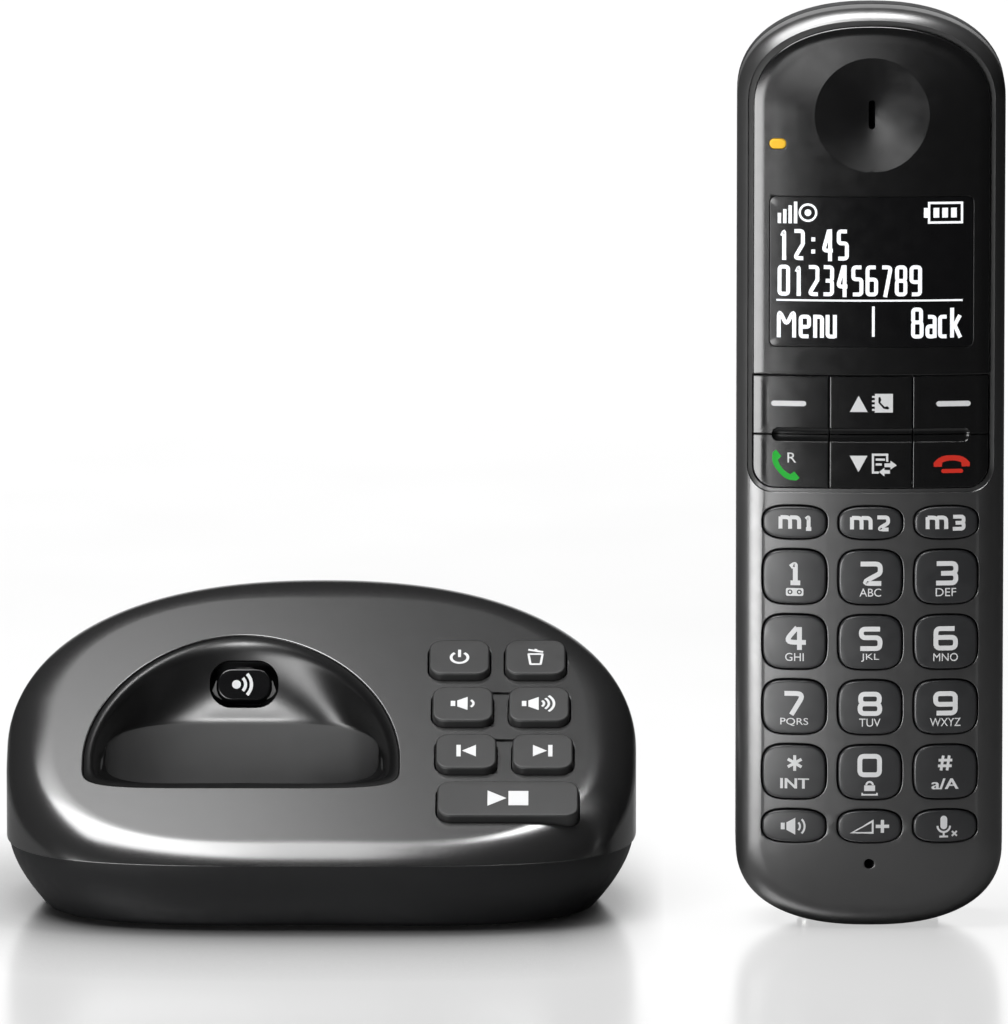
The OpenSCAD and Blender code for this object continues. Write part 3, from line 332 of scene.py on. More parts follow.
def edge_rings(steps, wall, sides):
    return [[edge_point(p, k / steps, wall) for p in plan(sides)] for k in range(steps + 1)]


def plan_ring(z, wall, sides):
    return at_height([drawn_in(p, seam_inset(p) + wall) for p in plan(sides)], z)


def flat_ring(beyond, sides):
    """Ring in the flat of the top face, inside its rounded edge."""
    return at_height([drawn_in(p, edge_r(p) + beyond) for p in plan(sides)], lambda x, y: top_z(y))


def skirt_ring(f, low, high, inset, sides):
    share = (1 - f) ** SKIRT_CURVE
    outline = [drawn_in(p, mix(seam_inset(p) + SEAM_STEP, BASE_INSET, share) + inset) for p in plan(sides)]
    return at_height(outline, mix(low, high, f))


def top_point(x, s, n):
    c, d = math.cos(TOP_SLOPE), math.sin(TOP_SLOPE)
    return Vector((x, s * c - n * d, TOP_H + s * d + n * c))


def on_slope(outline, n):
    return [top_point(p.x, p.y, n) for p in outline]


def slope_opening(outline, gap, low, soften):
    """Like opening, through the flat of the sloping top."""
    steps = [(0, low)] + [(wide * soften, -depth * soften) for wide, depth in EDGE_STEPS[:3]]
    steps += [(1.4 * soften, 0.05 * soften), (1.4 * soften, 4)]
    return [on_slope(grown(outline, gap + wide), n) for wide, n in steps]


def well(grow, sides):
    outline = oval(WELL_W / 2 + grow, WELL_FRONT + grow, WELL_BACK + grow, *WELL_SQUARE, sides)
    return [p + Vector((-CRADLE_LEFT, -WELL_DOWN)) for p in outline]


def pocket(grow, sides):
    return oval(POCKET_W / 2 + grow, POCKET_D / 2 + grow, POCKET_D / 2 + grow, *POCKET_SQUARE, sides)


DOCK_UP = Vector((0, math.sin(LEAN), math.cos(LEAN)))
DOCK_TO_BACK = Vector((0, math.cos(LEAN), -math.sin(LEAN)))
DOCK_FLOOR = (top_point(-CRADLE_LEFT, -WELL_DOWN - WELL_FRONT + FRONT_LIP, 0)
              + DOCK_TO_BACK * POCKET_D / 2 - DOCK_UP * FRONT_GRIP)


def dock_point(p, up):
    return DOCK_FLOOR + Vector((p.x, 0, 0)) + DOCK_TO_BACK * p.y + DOCK_UP * up


def rim_up(p):
    return mix(FRONT_GRIP - RIM_BELOW, BACK_GRIP, p.y / POCKET_D + 0.5)


def below_pocket_rim(point):
    """Whether a point of the cup lies in the pocket, under the plane of its rim."""
    off = point - DOCK_FLOOR
    return off.dot(DOCK_UP) < rim_up(Vector((0, off.dot(DOCK_TO_BACK)))) - RIM_MARGIN


def sweep_point(low, high, f):
    along = high - low
    level = Vector((along.x, along.y, 0))
    reach = level.length
    if reach < 0.01:
        return low.lerp(high, f)
    bulge = level * min(along.z / reach, HOLLOW_LIMIT) - Vector((0, 0, reach))
    return low.lerp(high, f) + HOLLOW * math.sin(math.pi * f) * bulge


paging_back = Vector((0, POCKET_D / 2))
paging_low = dock_point(paging_back, rim_up(paging_back))
paging_high = top_point(-CRADLE_LEFT, WELL_BACK - FIT_GAP - CUP_WALL - WELL_DOWN, -CUP_DROP)
paging_tilt = math.atan2(paging_high.z - paging_low.z, paging_high.y - paging_low.y)
PAGING = (Matrix.Translation(sweep_point(paging_low, paging_high, 0.5))
          @ Matrix.Rotation(paging_tilt, 4, "X"))


def base_key_places():
    """Name, place across and up the slope, and width of each base key."""
    pairs = [("power_key", "delete_key"), ("volume_down_key", "volume_up_key"),
             ("previous_key", "next_key")]
    places = []
    for row, names in enumerate(pairs):
        for side, name in enumerate(names):
            x = FIRST_ROW_X + row * ROW_STEP + (side - 0.5) * BASE_PITCH_X
            places.append((name, x, FIRST_ROW_S - row * BASE_PITCH_S, BASE_KEY_W))
    places.append(("play_key", FIRST_ROW_X + 3 * ROW_STEP, FIRST_ROW_S - 3 * BASE_PITCH_S, PLAY_W))
    return places


def base_upper():
    sides = 240
    rings = [plan_ring(SEAM_H + up, wall, sides) for up, wall in ((0, 0.3), (0.05, 0.1), (0.15, 0))]
    rings += edge_rings(20, 0, sides) + [flat_ring(0.4, sides)]
    shell = lofts("base_shell", [rings])
    lining = lofts("lining", [[plan_ring(0, BASE_WALL, 96)] + edge_rings(5, BASE_WALL, 96)])
    mouth = lofts("cradle_cut", [[on_slope(well(grow, 160), n) for grow, n in MOUTH_STEPS]])
    lean = lofts("lean_cut", [[[dock_point(p, up(p)) for p in pocket(CUP_WALL + FIT_GAP, 96)]
                               for up in (lambda p: -CUP_WALL, rim_up)]])
    keys = lofts("key_cuts", [
        slope_opening(rounded_rect(w, BASE_KEY_H, BASE_KEY_R, x, s), KEY_GAP, KEY_WELL_LOW, 0.12)
        for _, x, s, w in base_key_places()])
    links = lofts("link_cuts", [
        [on_slope(rounded_rect(BASE_PITCH_X, BASE_KEY_H, 0.1,
                               FIRST_ROW_X + row * ROW_STEP, FIRST_ROW_S - row * BASE_PITCH_S), n)
         for n in (-LINK_DEPTH, 3)] for row in (1, 2)])
    jacks = lofts("jack_cuts", [[[Vector((p.x, y, p.y)) for p in rounded_rect(*jack)] for y in JACK_CUT]
                                for jack in JACKS])
    return cut(shell, lining, mouth, lean, keys, links, jacks)


def base_lower():
    skirt = lofts("base_skirt", [[skirt_ring(f, FOOT_H, SEAM_H, inset, 240) for f, inset in SKIRT_STEPS]])
    inside = [skirt_ring(k / 5, FOOT_H + BASE_WALL, SEAM_H + 1, BASE_WALL, 96) for k in range(6)]
    bundles = [prism(circle(BOSS_R, 40, x, y), -1, BOSS_TOP) for x, y in BOSSES_AT]
    bundles += [prism(circle(FOOT_R, 40, x, y), -1, FOOT_H + FOOT_SEAT) for x, y in FEET_AT]
    bundles += [prism(slot, -1, 5) for slot in slot_row(*BASE_GRILLE)]
    return cut(skirt, lofts("lining", [inside]), lofts("floor_cuts", bundles))


def cradle():
    sides, steps = 192, 26
    # Widths of the rounded lip and rim, and shares of the way up the sweep where they and the plain run end
    lip_w, rim_w, lip_end, run_high, run_low, rim_end = 0.25, 0.8, 0.86, 0.82, 0.08, 0.05
    outer_low = [dock_point(p, rim_up(p)) for p in pocket(CUP_WALL, sides)]
    outer_high = on_slope(well(-FIT_GAP, sides), -CUP_DROP)
    low = [dock_point(p, rim_up(p)) for p in pocket(0, sides)]
    high = on_slope(well(-FIT_GAP - CUP_WALL, sides), -CUP_DROP)
    lip = on_slope(well(-FIT_GAP - lip_w, sides), -CUP_DROP)
    wall = [dock_point(p, rim_up(p) - rim_w) for p in pocket(0, sides)]

    def swept(lows, highs, f):
        return [sweep_point(a, b, f) for a, b in zip(lows, highs)]
    rings = [[dock_point(p, -CUP_WALL) for p in pocket(CUP_WALL, sides)]]
    rings += [swept(outer_low, outer_high, k / 8) for k in range(9)]
    rings += bent(lip, high, swept(low, high, lip_end), 7)
    rings += [swept(low, high, mix(run_high, run_low, k / steps)) for k in range(steps + 1)]
    rings += bent(swept(low, high, rim_end), low, wall, 6)
    rings.append([dock_point(p, 1) for p in pocket(0, sides)])
    rings.append([dock_point(p, 0) for p in pocket(-1, sides)])
    cup = lofts("cradle", [rings])
    recess = rounded_rect(PAGING_W + 2 * PAGING_BORDER, PAGING_H + 2 * PAGING_BORDER,
                          PAGING_R + PAGING_BORDER)
    hole = grown(rounded_rect(PAGING_W, PAGING_H, PAGING_R), KEY_GAP)
    recess_cut = block("recess_cut", recess, -PAGING_RECESS, PAGING_PAST)
    hole_cut = block("hole_cut", hole, -PAGING_PAST, PAGING_PAST)
    for cutter in (recess_cut, hole_cut):
        cutter.data.transform(PAGING)
    pins = lofts("pin_cuts", [[[dock_point(q, up) for q in circle(PIN_R + FIT_GAP, 32, x, CONTACT_V)]
                               for up in PIN_CUT] for x in (-CONTACT_X, CONTACT_X)])
    return cut(cup, recess_cut, hole_cut, pins)


def flat_key(name, w, h, r, low, high, fillet):
    return lofts(name, [cap_form(rounded_rect(w, h, r), low, lambda x, y: high, fillet,
                                 lambda p: Vector((0, 0)), 3, 8)])


# Handset: X across, Y up from its lower end, Z out of its face

WINDOW_OUTLINE = rounded_rect(DISPLAY_W, DISPLAY_H, DISPLAY_R, 0, DISPLAY_Y)
LAMP_OUTLINE = rounded_rect(LAMP_W, LAMP_H, LAMP_H / 2 - 0.01, LAMP_X, LAMP_Y, 0.6)
SLOT_OUTLINE = rounded_rect(SLOT_W, SLOT_H, SLOT_W / 2 - 0.01, 0, EARPIECE_Y)
DOOR_OUTLINE = rounded_rect(DOOR_W, DOOR_L, DOOR_CORNER, 0, DOOR_Y + DOOR_L / 2)


def cap_points(inset, end, steps):
    half = HANDSET_W / 2 - inset
    square, reach = (TOP_SQUARE, TOP_ROUND) if end > 0 else (BOTTOM_SQUARE, BOTTOM_ROUND)
    cap = reach * half / (HANDSET_W / 2)
    start = HANDSET_L - inset - cap if end > 0 else inset + cap
    points = []
    for i in range(steps + 1):
        t = math.pi * i / steps
        points.append(Vector((end * half * spow(math.cos(t), 2 / square),
                              start + end * cap * abs(math.sin(t)) ** (2 / square))))
    return points


def handset_outline(inset):
    steps = 48
    return cap_points(inset, 1, steps) + cap_points(inset, -1, steps)


def crown_at(inset, depth, crown):
    """Height of a half's crown at an inset from its outline."""
    return depth - (HANDSET_W / 2 - inset) ** 2 / (2 * crown)


def half_profile(side, edge, depth, crown):
    """Inset and depth of each ring of a half: seam groove, straight side, rounded edge, crown."""
    profile = [(SEAM_GROOVE, 0), (0.09, 0.09), (0, SEAM_GROOVE), (0, side)]
    for k in range(1, 15):
        t = math.pi / 2 * k / 14
        profile.append((edge * (1 - math.cos(t)), mix(side, crown_at(edge, depth, crown), math.sin(t))))
    for k in range(1, 12):
        inset = mix(edge, HANDSET_W / 2, k / 12)
        profile.append((inset, crown_at(inset, depth, crown)))
    profile.append((HANDSET_W / 2 - 0.4, depth))
    return profile


def inset_at(x, y):
    """How far inside the handset's outline a point is, in the outlines' own measure."""
    low, high = 0.0, HANDSET_W / 2 - 0.01
    for _ in range(22):
        inset = (low + high) / 2
        half = HANDSET_W / 2 - inset
        share = half / (HANDSET_W / 2)
        top, bottom = TOP_ROUND * share, BOTTOM_ROUND * share
        over = y - (HANDSET_L - inset - top)
        under = inset + bottom - y
        reach = abs(x) / half
        if over > 0:
            outside = reach ** TOP_SQUARE + (over / top) ** TOP_SQUARE > 1
        elif under > 0:
            outside = reach ** BOTTOM_SQUARE + (under / bottom) ** BOTTOM_SQUARE > 1
        else:
            outside = reach > 1
        if outside:
            high = inset
        else:
            low = inset
    return (low + high) / 2


def half_z(x, y, side, edge, depth, crown):
    inset = inset_at(x, y)
    if inset >= edge:
        return crown_at(inset, depth, crown)
    return mix(side, crown_at(edge, depth, crown), math.sqrt(1 - (1 - inset / edge) ** 2))


def front_z(x, y):
    return half_z(x, y, *FRONT_HALF)


def rear_z(x, y):
    return half_z(x, y, *REAR_HALF)


def crown_z(x, y):
    return HANDSET_FRONT - x * x / (2 * CROWN_R)


def face_outline(inset, low, corner):
    """The black face: the handset's outline above a straight lower edge with round corners."""
    half = HANDSET_W / 2 - inset
    points = []
    for side, start in ((1, -90), (-1, 180)):
        arc = [Vector((side * (half - corner) + corner * math.cos(math.radians(start + 9 * k)),
                       low + corner + corner * math.sin(math.radians(start + 9 * k)))) for k in range(11)]
        points += arc + cap_points(inset, 1, 56) if side > 0 else arc
    return divided(points, 1.6)


def dial_keys():
    """Name, middle, height and squareness of each oval key."""
    rows = [("star", "0", "hash"), ("7", "8", "9"), ("4", "5", "6"), ("1", "2", "3")]
    places = [("memory_key_%d" % (c + 1), (c - 1) * PITCH_X, MEMORY_Y, SMALL_H, SMALL_SQUARE)
              for c in range(3)]
    for row, names in enumerate(rows):
        places += [("dial_key_" + name, (c - 1) * PITCH_X, DIAL_Y + row * PITCH_Y, DIAL_H, DIAL_SQUARE)
                   for c, name in enumerate(names)]
    places += [(name, (c - 1) * PITCH_X, BOTTOM_Y, SMALL_H, SMALL_SQUARE)
               for c, name in enumerate(("speaker_key", "boost_key", "mute_key"))]
    return places


def nav_keys():
    """Name, middle, size and corner radii of each navigation key."""
    names = [("talk_key", "down_key", "end_key"), ("soft_left_key", "up_key", "soft_right_key")]
    side_out = HANDSET_W / 2 - FASCIA_INSET - KEY_GAP / 2
    side_in = (NAV_MID_W + KEY_GAP) / 2
    places = []
    for row, (start, end) in enumerate(((FACE_LOW, NAV_MID), (NAV_MID, FASCIA_LOW))):
        low, high = start + KEY_GAP / 2, end - KEY_GAP / 2
        for c, name in enumerate(names[row]):
            w = side_out - side_in if c != 1 else NAV_MID_W - KEY_GAP
            x = (c - 1) * (side_out + side_in) / 2
            radii = [NAV_CORNER] * 4
            if row == 0 and c != 1:
                radii[0 if c == 2 else 3] = FACE_CORNER
            places.append((name, x, (low + high) / 2, w, high - low, radii))
    return places


def front_shell():
    profile = half_profile(*FRONT_HALF)
    shell = lofts("front_shell", [[at_height(handset_outline(inset), z) for inset, z in profile]])
    inside = block("inside", handset_outline(HANDSET_WALL), -1, FRONT_CEILING)
    face_half = HANDSET_W / 2 - FASCIA_INSET + FIT_GAP
    seat_outline = face_outline(FASCIA_INSET - FIT_GAP, FACE_LOW - FIT_GAP, FACE_CORNER)
    seat = block("seat", seat_outline, FASCIA_SEAT, PAST)
    nav_h = FASCIA_LOW - FACE_LOW + FIT_GAP
    nav_outline = rounded_rect(2 * face_half, nav_h, [FACE_CORNER, 0.1, 0.1, FACE_CORNER],
                               0, FASCIA_LOW - nav_h / 2)
    through = block("through", nav_outline, -2, PAST)
    rim = face_outline(FACE_RIM, FACE_LOW - FIT_GAP - FACE_LIP, FACE_CORNER + FACE_LIP)
    # Ledge round the face: its inner edge, its rim and the flare that softens the edge above it
    inner, wide = grown(rim, -1.4), grown(rim, 0.14)
    ledge = [front_z(p.x, p.y) - FACE_STEP for p in rim]
    steps = [(inner, 0), (rim, 0), (rim, FACE_STEP - 0.1), (wide, FACE_STEP + 0.02), (wide, 4), (inner, 4)]
    step = lofts("step", [[[Vector((p.x, p.y, z + up)) for p, z in zip(edge, ledge)]
                           for edge, up in steps]], closed=True)
    holes = [opening(key_outline(KEY_W, h, square, x, y), KEY_GAP, 0, front_z, 0.14)
             for _, x, y, h, square in dial_keys()]
    holes.append(opening(circle(MIC_R, 32, 0, MIC_Y), 0, 0, front_z, 0.1))
    holes.append(prism(SLOT_OUTLINE, 0, PAST))
    return cut(shell, inside, seat, through, step, lofts("holes", holes))


def fascia():
    outline = face_outline(FASCIA_INSET, FASCIA_LOW + KEY_GAP / 2, 0.25)

    def spine(p):
        return Vector((0, min(max(p.y, FASCIA_LOW + 3), HANDSET_L - 19)))
    form = lofts("fascia", [cap_form(outline, FASCIA_SEAT, front_z, 0.25, spine, 22)])
    window = opening(WINDOW_OUTLINE, FIT_GAP, 0, front_z, 0.05)
    lamp = opening(LAMP_OUTLINE, FIT_GAP, 0, front_z, 0.05)
    steps = [(DISH_R * k / 16, DISH_DEPTH * (1 - k / 16) + DISH_LIP) for k in range(1, 17)]
    steps += [(DISH_R + DISH_LIP, -DISH_LIP), (DISH_R + DISH_LIP, -4)]
    dish = [at_height(circle(r, 128, 0, EARPIECE_Y), below(front_z, depth)) for r, depth in steps]
    cuts = lofts("face_cuts", [window, lamp, dish])
    return cut(form, cuts, block("slot", SLOT_OUTLINE, 0, PAST))


# Width and depth of each ring of the groove between the navigation keys, from its middle line out
NAV_GROOVE_STEPS = [(-1.15, 0.62), (-0.8, 0.6), (-0.4, 0.54), (-0.1, 0.4), (0, 0.2), (0.03, 0.1),
                    (0.16, -0.02), (0.16, -3)]


def nav_key(name, x, y, w, h, radii):
    outline = rounded_rect(w, h, radii, x, y, 0.7, 10)
    key = lofts(name + "_cap", [cap_form(outline, KEY_LOW, front_z, 0.1, lambda p: Vector((x, y)), 24, 4)])
    groove = rounded_rect(NAV_GROOVE_W, NAV_GROOVE_H, NAV_GROOVE_H / 2 - 0.01, 0, NAV_MID, 1.5)
    return cut(key, lofts("groove", [[at_height(grown(groove, wide), below(front_z, depth))
                                      for wide, depth in NAV_GROOVE_STEPS]]))


def oval_key_top(px, py, x, y, h):
    reach = (2 * (px - x) / KEY_W) ** 2 + (2 * (py - y) / h) ** 2
    return crown_z(px, py) + KEY_RISE - KEY_SINK + KEY_DOME * max(0, 1 - reach)


def oval_key(name, x, y, h, square):
    def top(px, py):
        return oval_key_top(px, py, x, y, h)
    outline = key_outline(KEY_W, h, square, x, y, 72)
    return lofts(name + "_cap", [cap_form(outline, KEY_LOW, top, 0.4, lambda p: Vector((x, y)), 8, 6)])


def rear_shell():
    profile = half_profile(*REAR_HALF)
    shell = lofts("rear_shell", [[at_height(handset_outline(inset), z) for inset, z in profile]])
    door = lofts("door_cut", [opening(DOOR_OUTLINE, DOOR_GAP, DOOR_INNER, rear_z, 0.12)])
    bay = block("bay_cut", rounded_rect(BAY_W, BAY_L, BAY_CORNER, 0, DOOR_Y + DOOR_L / 2), BAY_LOW, PAST)
    holes = [opening(circle(SCREW_HEAD_R, 32, x, y), 0, SCREW_SEAT, rear_z, 0.12) for x, y in SCREWS_AT]
    holes += [opening(slot, 0, 9.6, rear_z, 0.1) for slot in slot_row(*HANDSET_GRILLE)]
    pads = [[[Vector((p.x, y, PAD_Z - p.y)) for p in circle(PAD_R, 32, x)] for y in PAD_CUT]
            for x in (-CONTACT_X, CONTACT_X)]
    return cut(shell, door, bay, lofts("holes", holes), lofts("pad_cuts", pads))


def door_panel():
    def spine(p):
        return Vector((0, min(max(p.y, DOOR_Y + 16), DOOR_Y + DOOR_L - 16)))
    return lofts("door_panel", [cap_form(DOOR_OUTLINE, DOOR_INNER, rear_z, 0.3, spine, 14)])


# Printed legends, drawn flat and laid over the surface that carries them

def bent_path(path, radius, closed):
    """A path of straight runs with its corners rounded."""
    points, count = [], len(path)
    for i, corner in enumerate(path):
        p = Vector(corner)
        if not closed and i in (0, count - 1):
            points.append(p)
            continue
        to_last = Vector(path[i - 1]) - p
        to_next = Vector(path[(i + 1) % count]) - p
        half = to_last.angle(to_next) / 2
        run = min(radius / max(math.tan(half), 0.001), to_last.length / 2, to_next.length / 2)
        if run < 0.01:
            points.append(p)
            continue
        a, b = p + to_last.normalized() * run, p + to_next.normalized() * run
        for k in range(7):
            t = k / 6
            points.append(a * (1 - t) ** 2 + p * (2 * t * (1 - t)) + b * t ** 2)
    return points


def stroke(path, width, radius=0.0, closed=False, round_ends=False):
    """Line of even width along a path, as points and faces."""
    line = bent_path(path, radius, closed)
    line = [p for i, p in enumerate(line) if i == 0 or (p - line[i - 1]).length > 0.005]
    if closed and (line[0] - line[-1]).length < 0.005:
        line.pop()
    count = len(line)
    points = []
    for i, p in enumerate(line):
        before = p - line[i - 1] if closed or i > 0 else line[1] - p
        after = line[(i + 1) % count] - p if closed or i < count - 1 else before
        before, after = before.normalized(), after.normalized()
        side = Vector((-before.y - after.y, before.x + after.x))
        side = side.normalized() if side.length > 0.001 else Vector((-before.y, before.x))
        reach = width / 2 / max(0.45, side.dot(Vector((-before.y, before.x))))
        points += [p - side * reach, p + side * reach]
    faces = []
    for i in range(count if closed else count - 1):
        j = (i + 1) % count
        faces.append((2 * i, 2 * j, 2 * j + 1, 2 * i + 1))
    shapes = [(points, faces)]
    if round_ends and not closed:
        shapes += [disc(p, width / 2) for p in (line[0], line[-1])]
    return shapes


def disc(middle, r):
    sides = 20
    return circle(r, sides, *middle), [tuple(range(sides))]


def arc(middle, r, start, end, width):
    steps = max(4, int(abs(end - start) / 8))
    path = []
    for k in range(steps + 1):
        a = math.radians(mix(start, end, k / steps))
        path.append((middle[0] + r * math.cos(a), middle[1] + r * math.sin(a)))
    return stroke(path, width)


def fill(*loops):
    """Area inside the first loop, less the others."""
    flat = [Vector((x, y, 0)) for loop in loops for x, y in loop]
    faces = tessellate_polygon([[Vector((x, y, 0)) for x, y in loop] for loop in loops])
    return [([Vector((p.x, p.y)) for p in flat], [tuple(face) for face in faces])]


def box(left, low, right, high):
    return fill([(left, low), (right, low), (right, high), (left, high)])


def words(text, height, x, y, width):
    """Lettering of a given height and width about a middle point."""
    curve = bpy.data.curves.new("words", "FONT")
    curve.body = text
    curve.resolution_u = 4
    holder = bpy.data.objects.new("words", curve)
    bpy.context.scene.collection.objects.link(holder)
    graph = bpy.context.evaluated_depsgraph_get()
    mesh = bpy.data.meshes.new_from_object(holder.evaluated_get(graph))
    xs, ys = [v.co.x for v in mesh.vertices], [v.co.y for v in mesh.vertices]
    sx, sy = width / (max(xs) - min(xs)), height / (max(ys) - min(ys))
    mid_x, mid_y = (max(xs) + min(xs)) / 2, (max(ys) + min(ys)) / 2
    points = [Vector((x + (v.co.x - mid_x) * sx, y + (v.co.y - mid_y) * sy)) for v in mesh.vertices]
    faces = [tuple(face.vertices) for face in mesh.polygons]
    bpy.data.objects.remove(holder)
    bpy.data.curves.remove(curve)
    bpy.data.meshes.remove(mesh)
    return [(points, faces)]


def bold(text, height, x, y, width):
    """Lettering made heavier by a second copy a little to one side."""
    return words(text, height, x - 0.09, y, width) + words(text, height, x + 0.09, y, width)


def moved(shapes, x, y, scale=1.0, turn=0):
    c, s = math.cos(math.radians(turn)) * scale, math.sin(math.radians(turn)) * scale
    return [([Vector((x + c * p.x - s * p.y, y + s * p.x + c * p.y)) for p in points], faces)
            for points, faces in shapes]


def printed(name, shapes, surface, place, body, material, slot, up=INK):
    """Ink over a surface, in thin layers so that strokes that cross never share a face."""
    points, faces = [], []
    for order, (flat, flat_faces) in enumerate(shapes):
        start, count = len(points), len(flat)
        height = up + INK_LAYER * (order % INK_LAYERS)
        points += [Vector((p.x, p.y, surface(p.x, p.y) + height)) for p in flat]
        points += [Vector((p.x, p.y, surface(p.x, p.y) - INK)) for p in flat]
        wound = []
        for face in flat_faces:
            area = sum(flat[a].x * flat[b].y - flat[b].x * flat[a].y
                       for a, b in zip(face, face[1:] + face[:1]))
            wound.append(face if area > 0 else tuple(reversed(face)))
        edges = {(a, b) for face in wound for a, b in zip(face, face[1:] + face[:1])}
        faces += [tuple(start + i for i in face) for face in wound]
        faces += [tuple(start + count + i for i in reversed(face)) for face in wound]
        faces += [(start + b, start + a, start + count + a, start + count + b)
                  for a, b in edges if (b, a) not in edges]
    settle(new_object(name, points, faces), place, body, material, slot)


# Squarish figures on centre-lines inside a box from -1 to 1; a path that ends at its start is closed
FIGURES = {
    "0": [[(-1, -1), (1, -1), (1, 1), (-1, 1), (-1, -1)]],
    "1": [[(-0.42, 0.62), (0.06, 1), (0.06, -1)], [(-0.42, -1), (0.56, -1)]],
    "2": [[(-1, 1), (1, 1), (1, 0.05), (-0.95, -1), (1.1, -1)]],
    "3": [[(-0.95, 1), (1, 1), (1, 0), (-0.5, 0)], [(-0.5, 0), (1, 0), (1, -1), (-1, -1)]],
    "4": [[(0.25, 1.1), (-1.05, -0.42), (1.15, -0.42)], [(0.5, 1.15), (0.5, -1.2)]],
    "5": [[(1, 1), (-0.9, 1), (-0.9, 0.12), (1, 0.12), (1, -1), (-1, -1)]],
    "6": [[(0.9, 1), (-1, 1), (-1, -1), (1, -1), (1, 0.1), (-1, 0.1)]],
    "7": [[(-1, 1), (1, 1), (-0.3, -1.2)]],
    "8": [[(-0.95, 0), (0.95, 0), (0.95, 1), (-0.95, 1), (-0.95, 0)],
          [(-1, -1), (1, -1), (1, 0), (-1, 0), (-1, -1)]],
    "9": [[(-0.9, -1), (1, -1), (1, 1), (-1, 1), (-1, -0.1), (1, -0.1)]],
    "m": [[(-1, -1), (-1, 1)], [(-1, 0.9), (0.03, 0.9), (0.03, -1)], [(0.03, 0.9), (1, 0.9), (1, -1)]],
    ":": [[(0, -0.65), (0, -0.35)], [(0, 0.25), (0, 0.55)]],
    "M": [[(-1, -1.1), (-1, 1), (0, -0.2), (1, 1), (1, -1.1)]],
    "e": [[(-0.9, -0.3), (1, -0.3), (1, 0.45), (-1, 0.45), (-1, -1), (0.9, -1)]],
    "n": [[(-1, -1.1), (-1, 0.6)], [(-1, 0.45), (1, 0.45), (1, -1.1)]],
    "u": [[(-1, 0.6), (-1, -1), (1, -1)], [(1, 0.6), (1, -1.1)]],
    "B": [[(-1, -1), (1, -1), (1, 0.05), (-1, 0.05), (-1, -1)],
          [(-1, 0.05), (0.85, 0.05), (0.85, 1), (-1, 1), (-1, 0.05)]],
    "a": [[(-0.85, 0.45), (1, 0.45), (1, -1.1)], [(1, -0.25), (-1, -0.25), (-1, -1), (1, -1), (1, -0.25)]],
    "c": [[(0.95, 0.45), (-1, 0.45), (-1, -1), (0.95, -1)]],
    "k": [[(-1, 1.1), (-1, -1.1)], [(1, 0.55), (-0.75, -0.4)], [(-0.3, -0.2), (1.1, -1.1)]],
}


def figure(sign, x, y, half_w, half_h, width, radius):
    shapes = []
    for path in FIGURES[sign]:
        closed = path[0] == path[-1]
        placed = [(x + half_w * px, y + half_h * py) for px, py in (path[:-1] if closed else path)]
        shapes += stroke(placed, width, radius, closed)
    return shapes


def receiver_shape(half, sag, thick, pad):
    """A telephone receiver seen from its side, lying with its ends down."""
    outer, inner = [], []
    for k in range(17):
        a = mix(-1, 1, k / 16)
        outer.append((half * a, sag * (1 - a * a * abs(a))))
        inner.append((half * a * 0.52, sag * (1 - (a * 0.52) ** 2) - thick))
    ends = [(half, -pad), (half * 0.55, -pad)]
    starts = [(-half * 0.55, -pad), (-half, -pad)]
    return fill(outer + ends + inner[::-1] + starts)


# Materials

# Most of a noise's values lie in this range
NOISE_RANGE = (0.3, 0.7)
# Scales of the noises that drift the colour and the gloss, and depth of the grain in metres
DRIFT_SCALE, GLOSS_SCALE, GRAIN_DEPTH = 55, 380, 0.00004


def tree_of(name):
    material = bpy.data.materials.new(name)
    material.use_nodes = True
    tree = material.node_tree
    return material, tree, tree.nodes["Principled BSDF"]


def set_inputs(node, values):
    for name, value in values.items():
        node.inputs[name].default_value = value


def noise(tree, scale, detail=3.0, stretch=(1, 1, 1)):
    coords = tree.nodes.new("ShaderNodeTexCoord")
    mapping = tree.nodes.new("ShaderNodeMapping")
    mapping.inputs["Scale"].default_value = stretch
    texture = tree.nodes.new("ShaderNodeTexNoise")
    set_inputs(texture, {"Scale": scale, "Detail": detail})
    tree.links.new(coords.outputs["Object"], mapping.inputs["Vector"])
    tree.links.new(mapping.outputs["Vector"], texture.inputs["Vector"])
    return texture.outputs["Fac"]


def ranged(tree, value, start, end, low=0.0, high=1.0, blend="LINEAR"):
    """Brings the values from start to end to those from low to high."""
    node = tree.nodes.new("ShaderNodeMapRange")
    node.interpolation_type = blend
    set_inputs(node, {"From Min": start, "From Max": end, "To Min": low, "To Max": high})
    tree.links.new(value, node.inputs["Value"])
    return node.outputs["Result"]


def spread(tree, value, low, high):
    """Brings a noise's middle range to a range of values."""
    return ranged(tree, value, *NOISE_RANGE, low, high)


def tinted(tree, value, dark, light):
    ramp = tree.nodes.new("ShaderNodeValToRGB")
    for stop, position, colour in zip(ramp.color_ramp.elements, NOISE_RANGE, (dark, light)):
        stop.position = position
        stop.color = (*colour, 1)
    tree.links.new(value, ramp.inputs["Fac"])
    return ramp.outputs["Color"]


def grained(tree, shader, scale, strength, depth):
    bump = tree.nodes.new("ShaderNodeBump")
    set_inputs(bump, {"Strength": strength, "Distance": depth})
    tree.links.new(noise(tree, scale, 2), bump.inputs["Height"])
    tree.links.new(bump.outputs["Normal"], shader.inputs["Normal"])


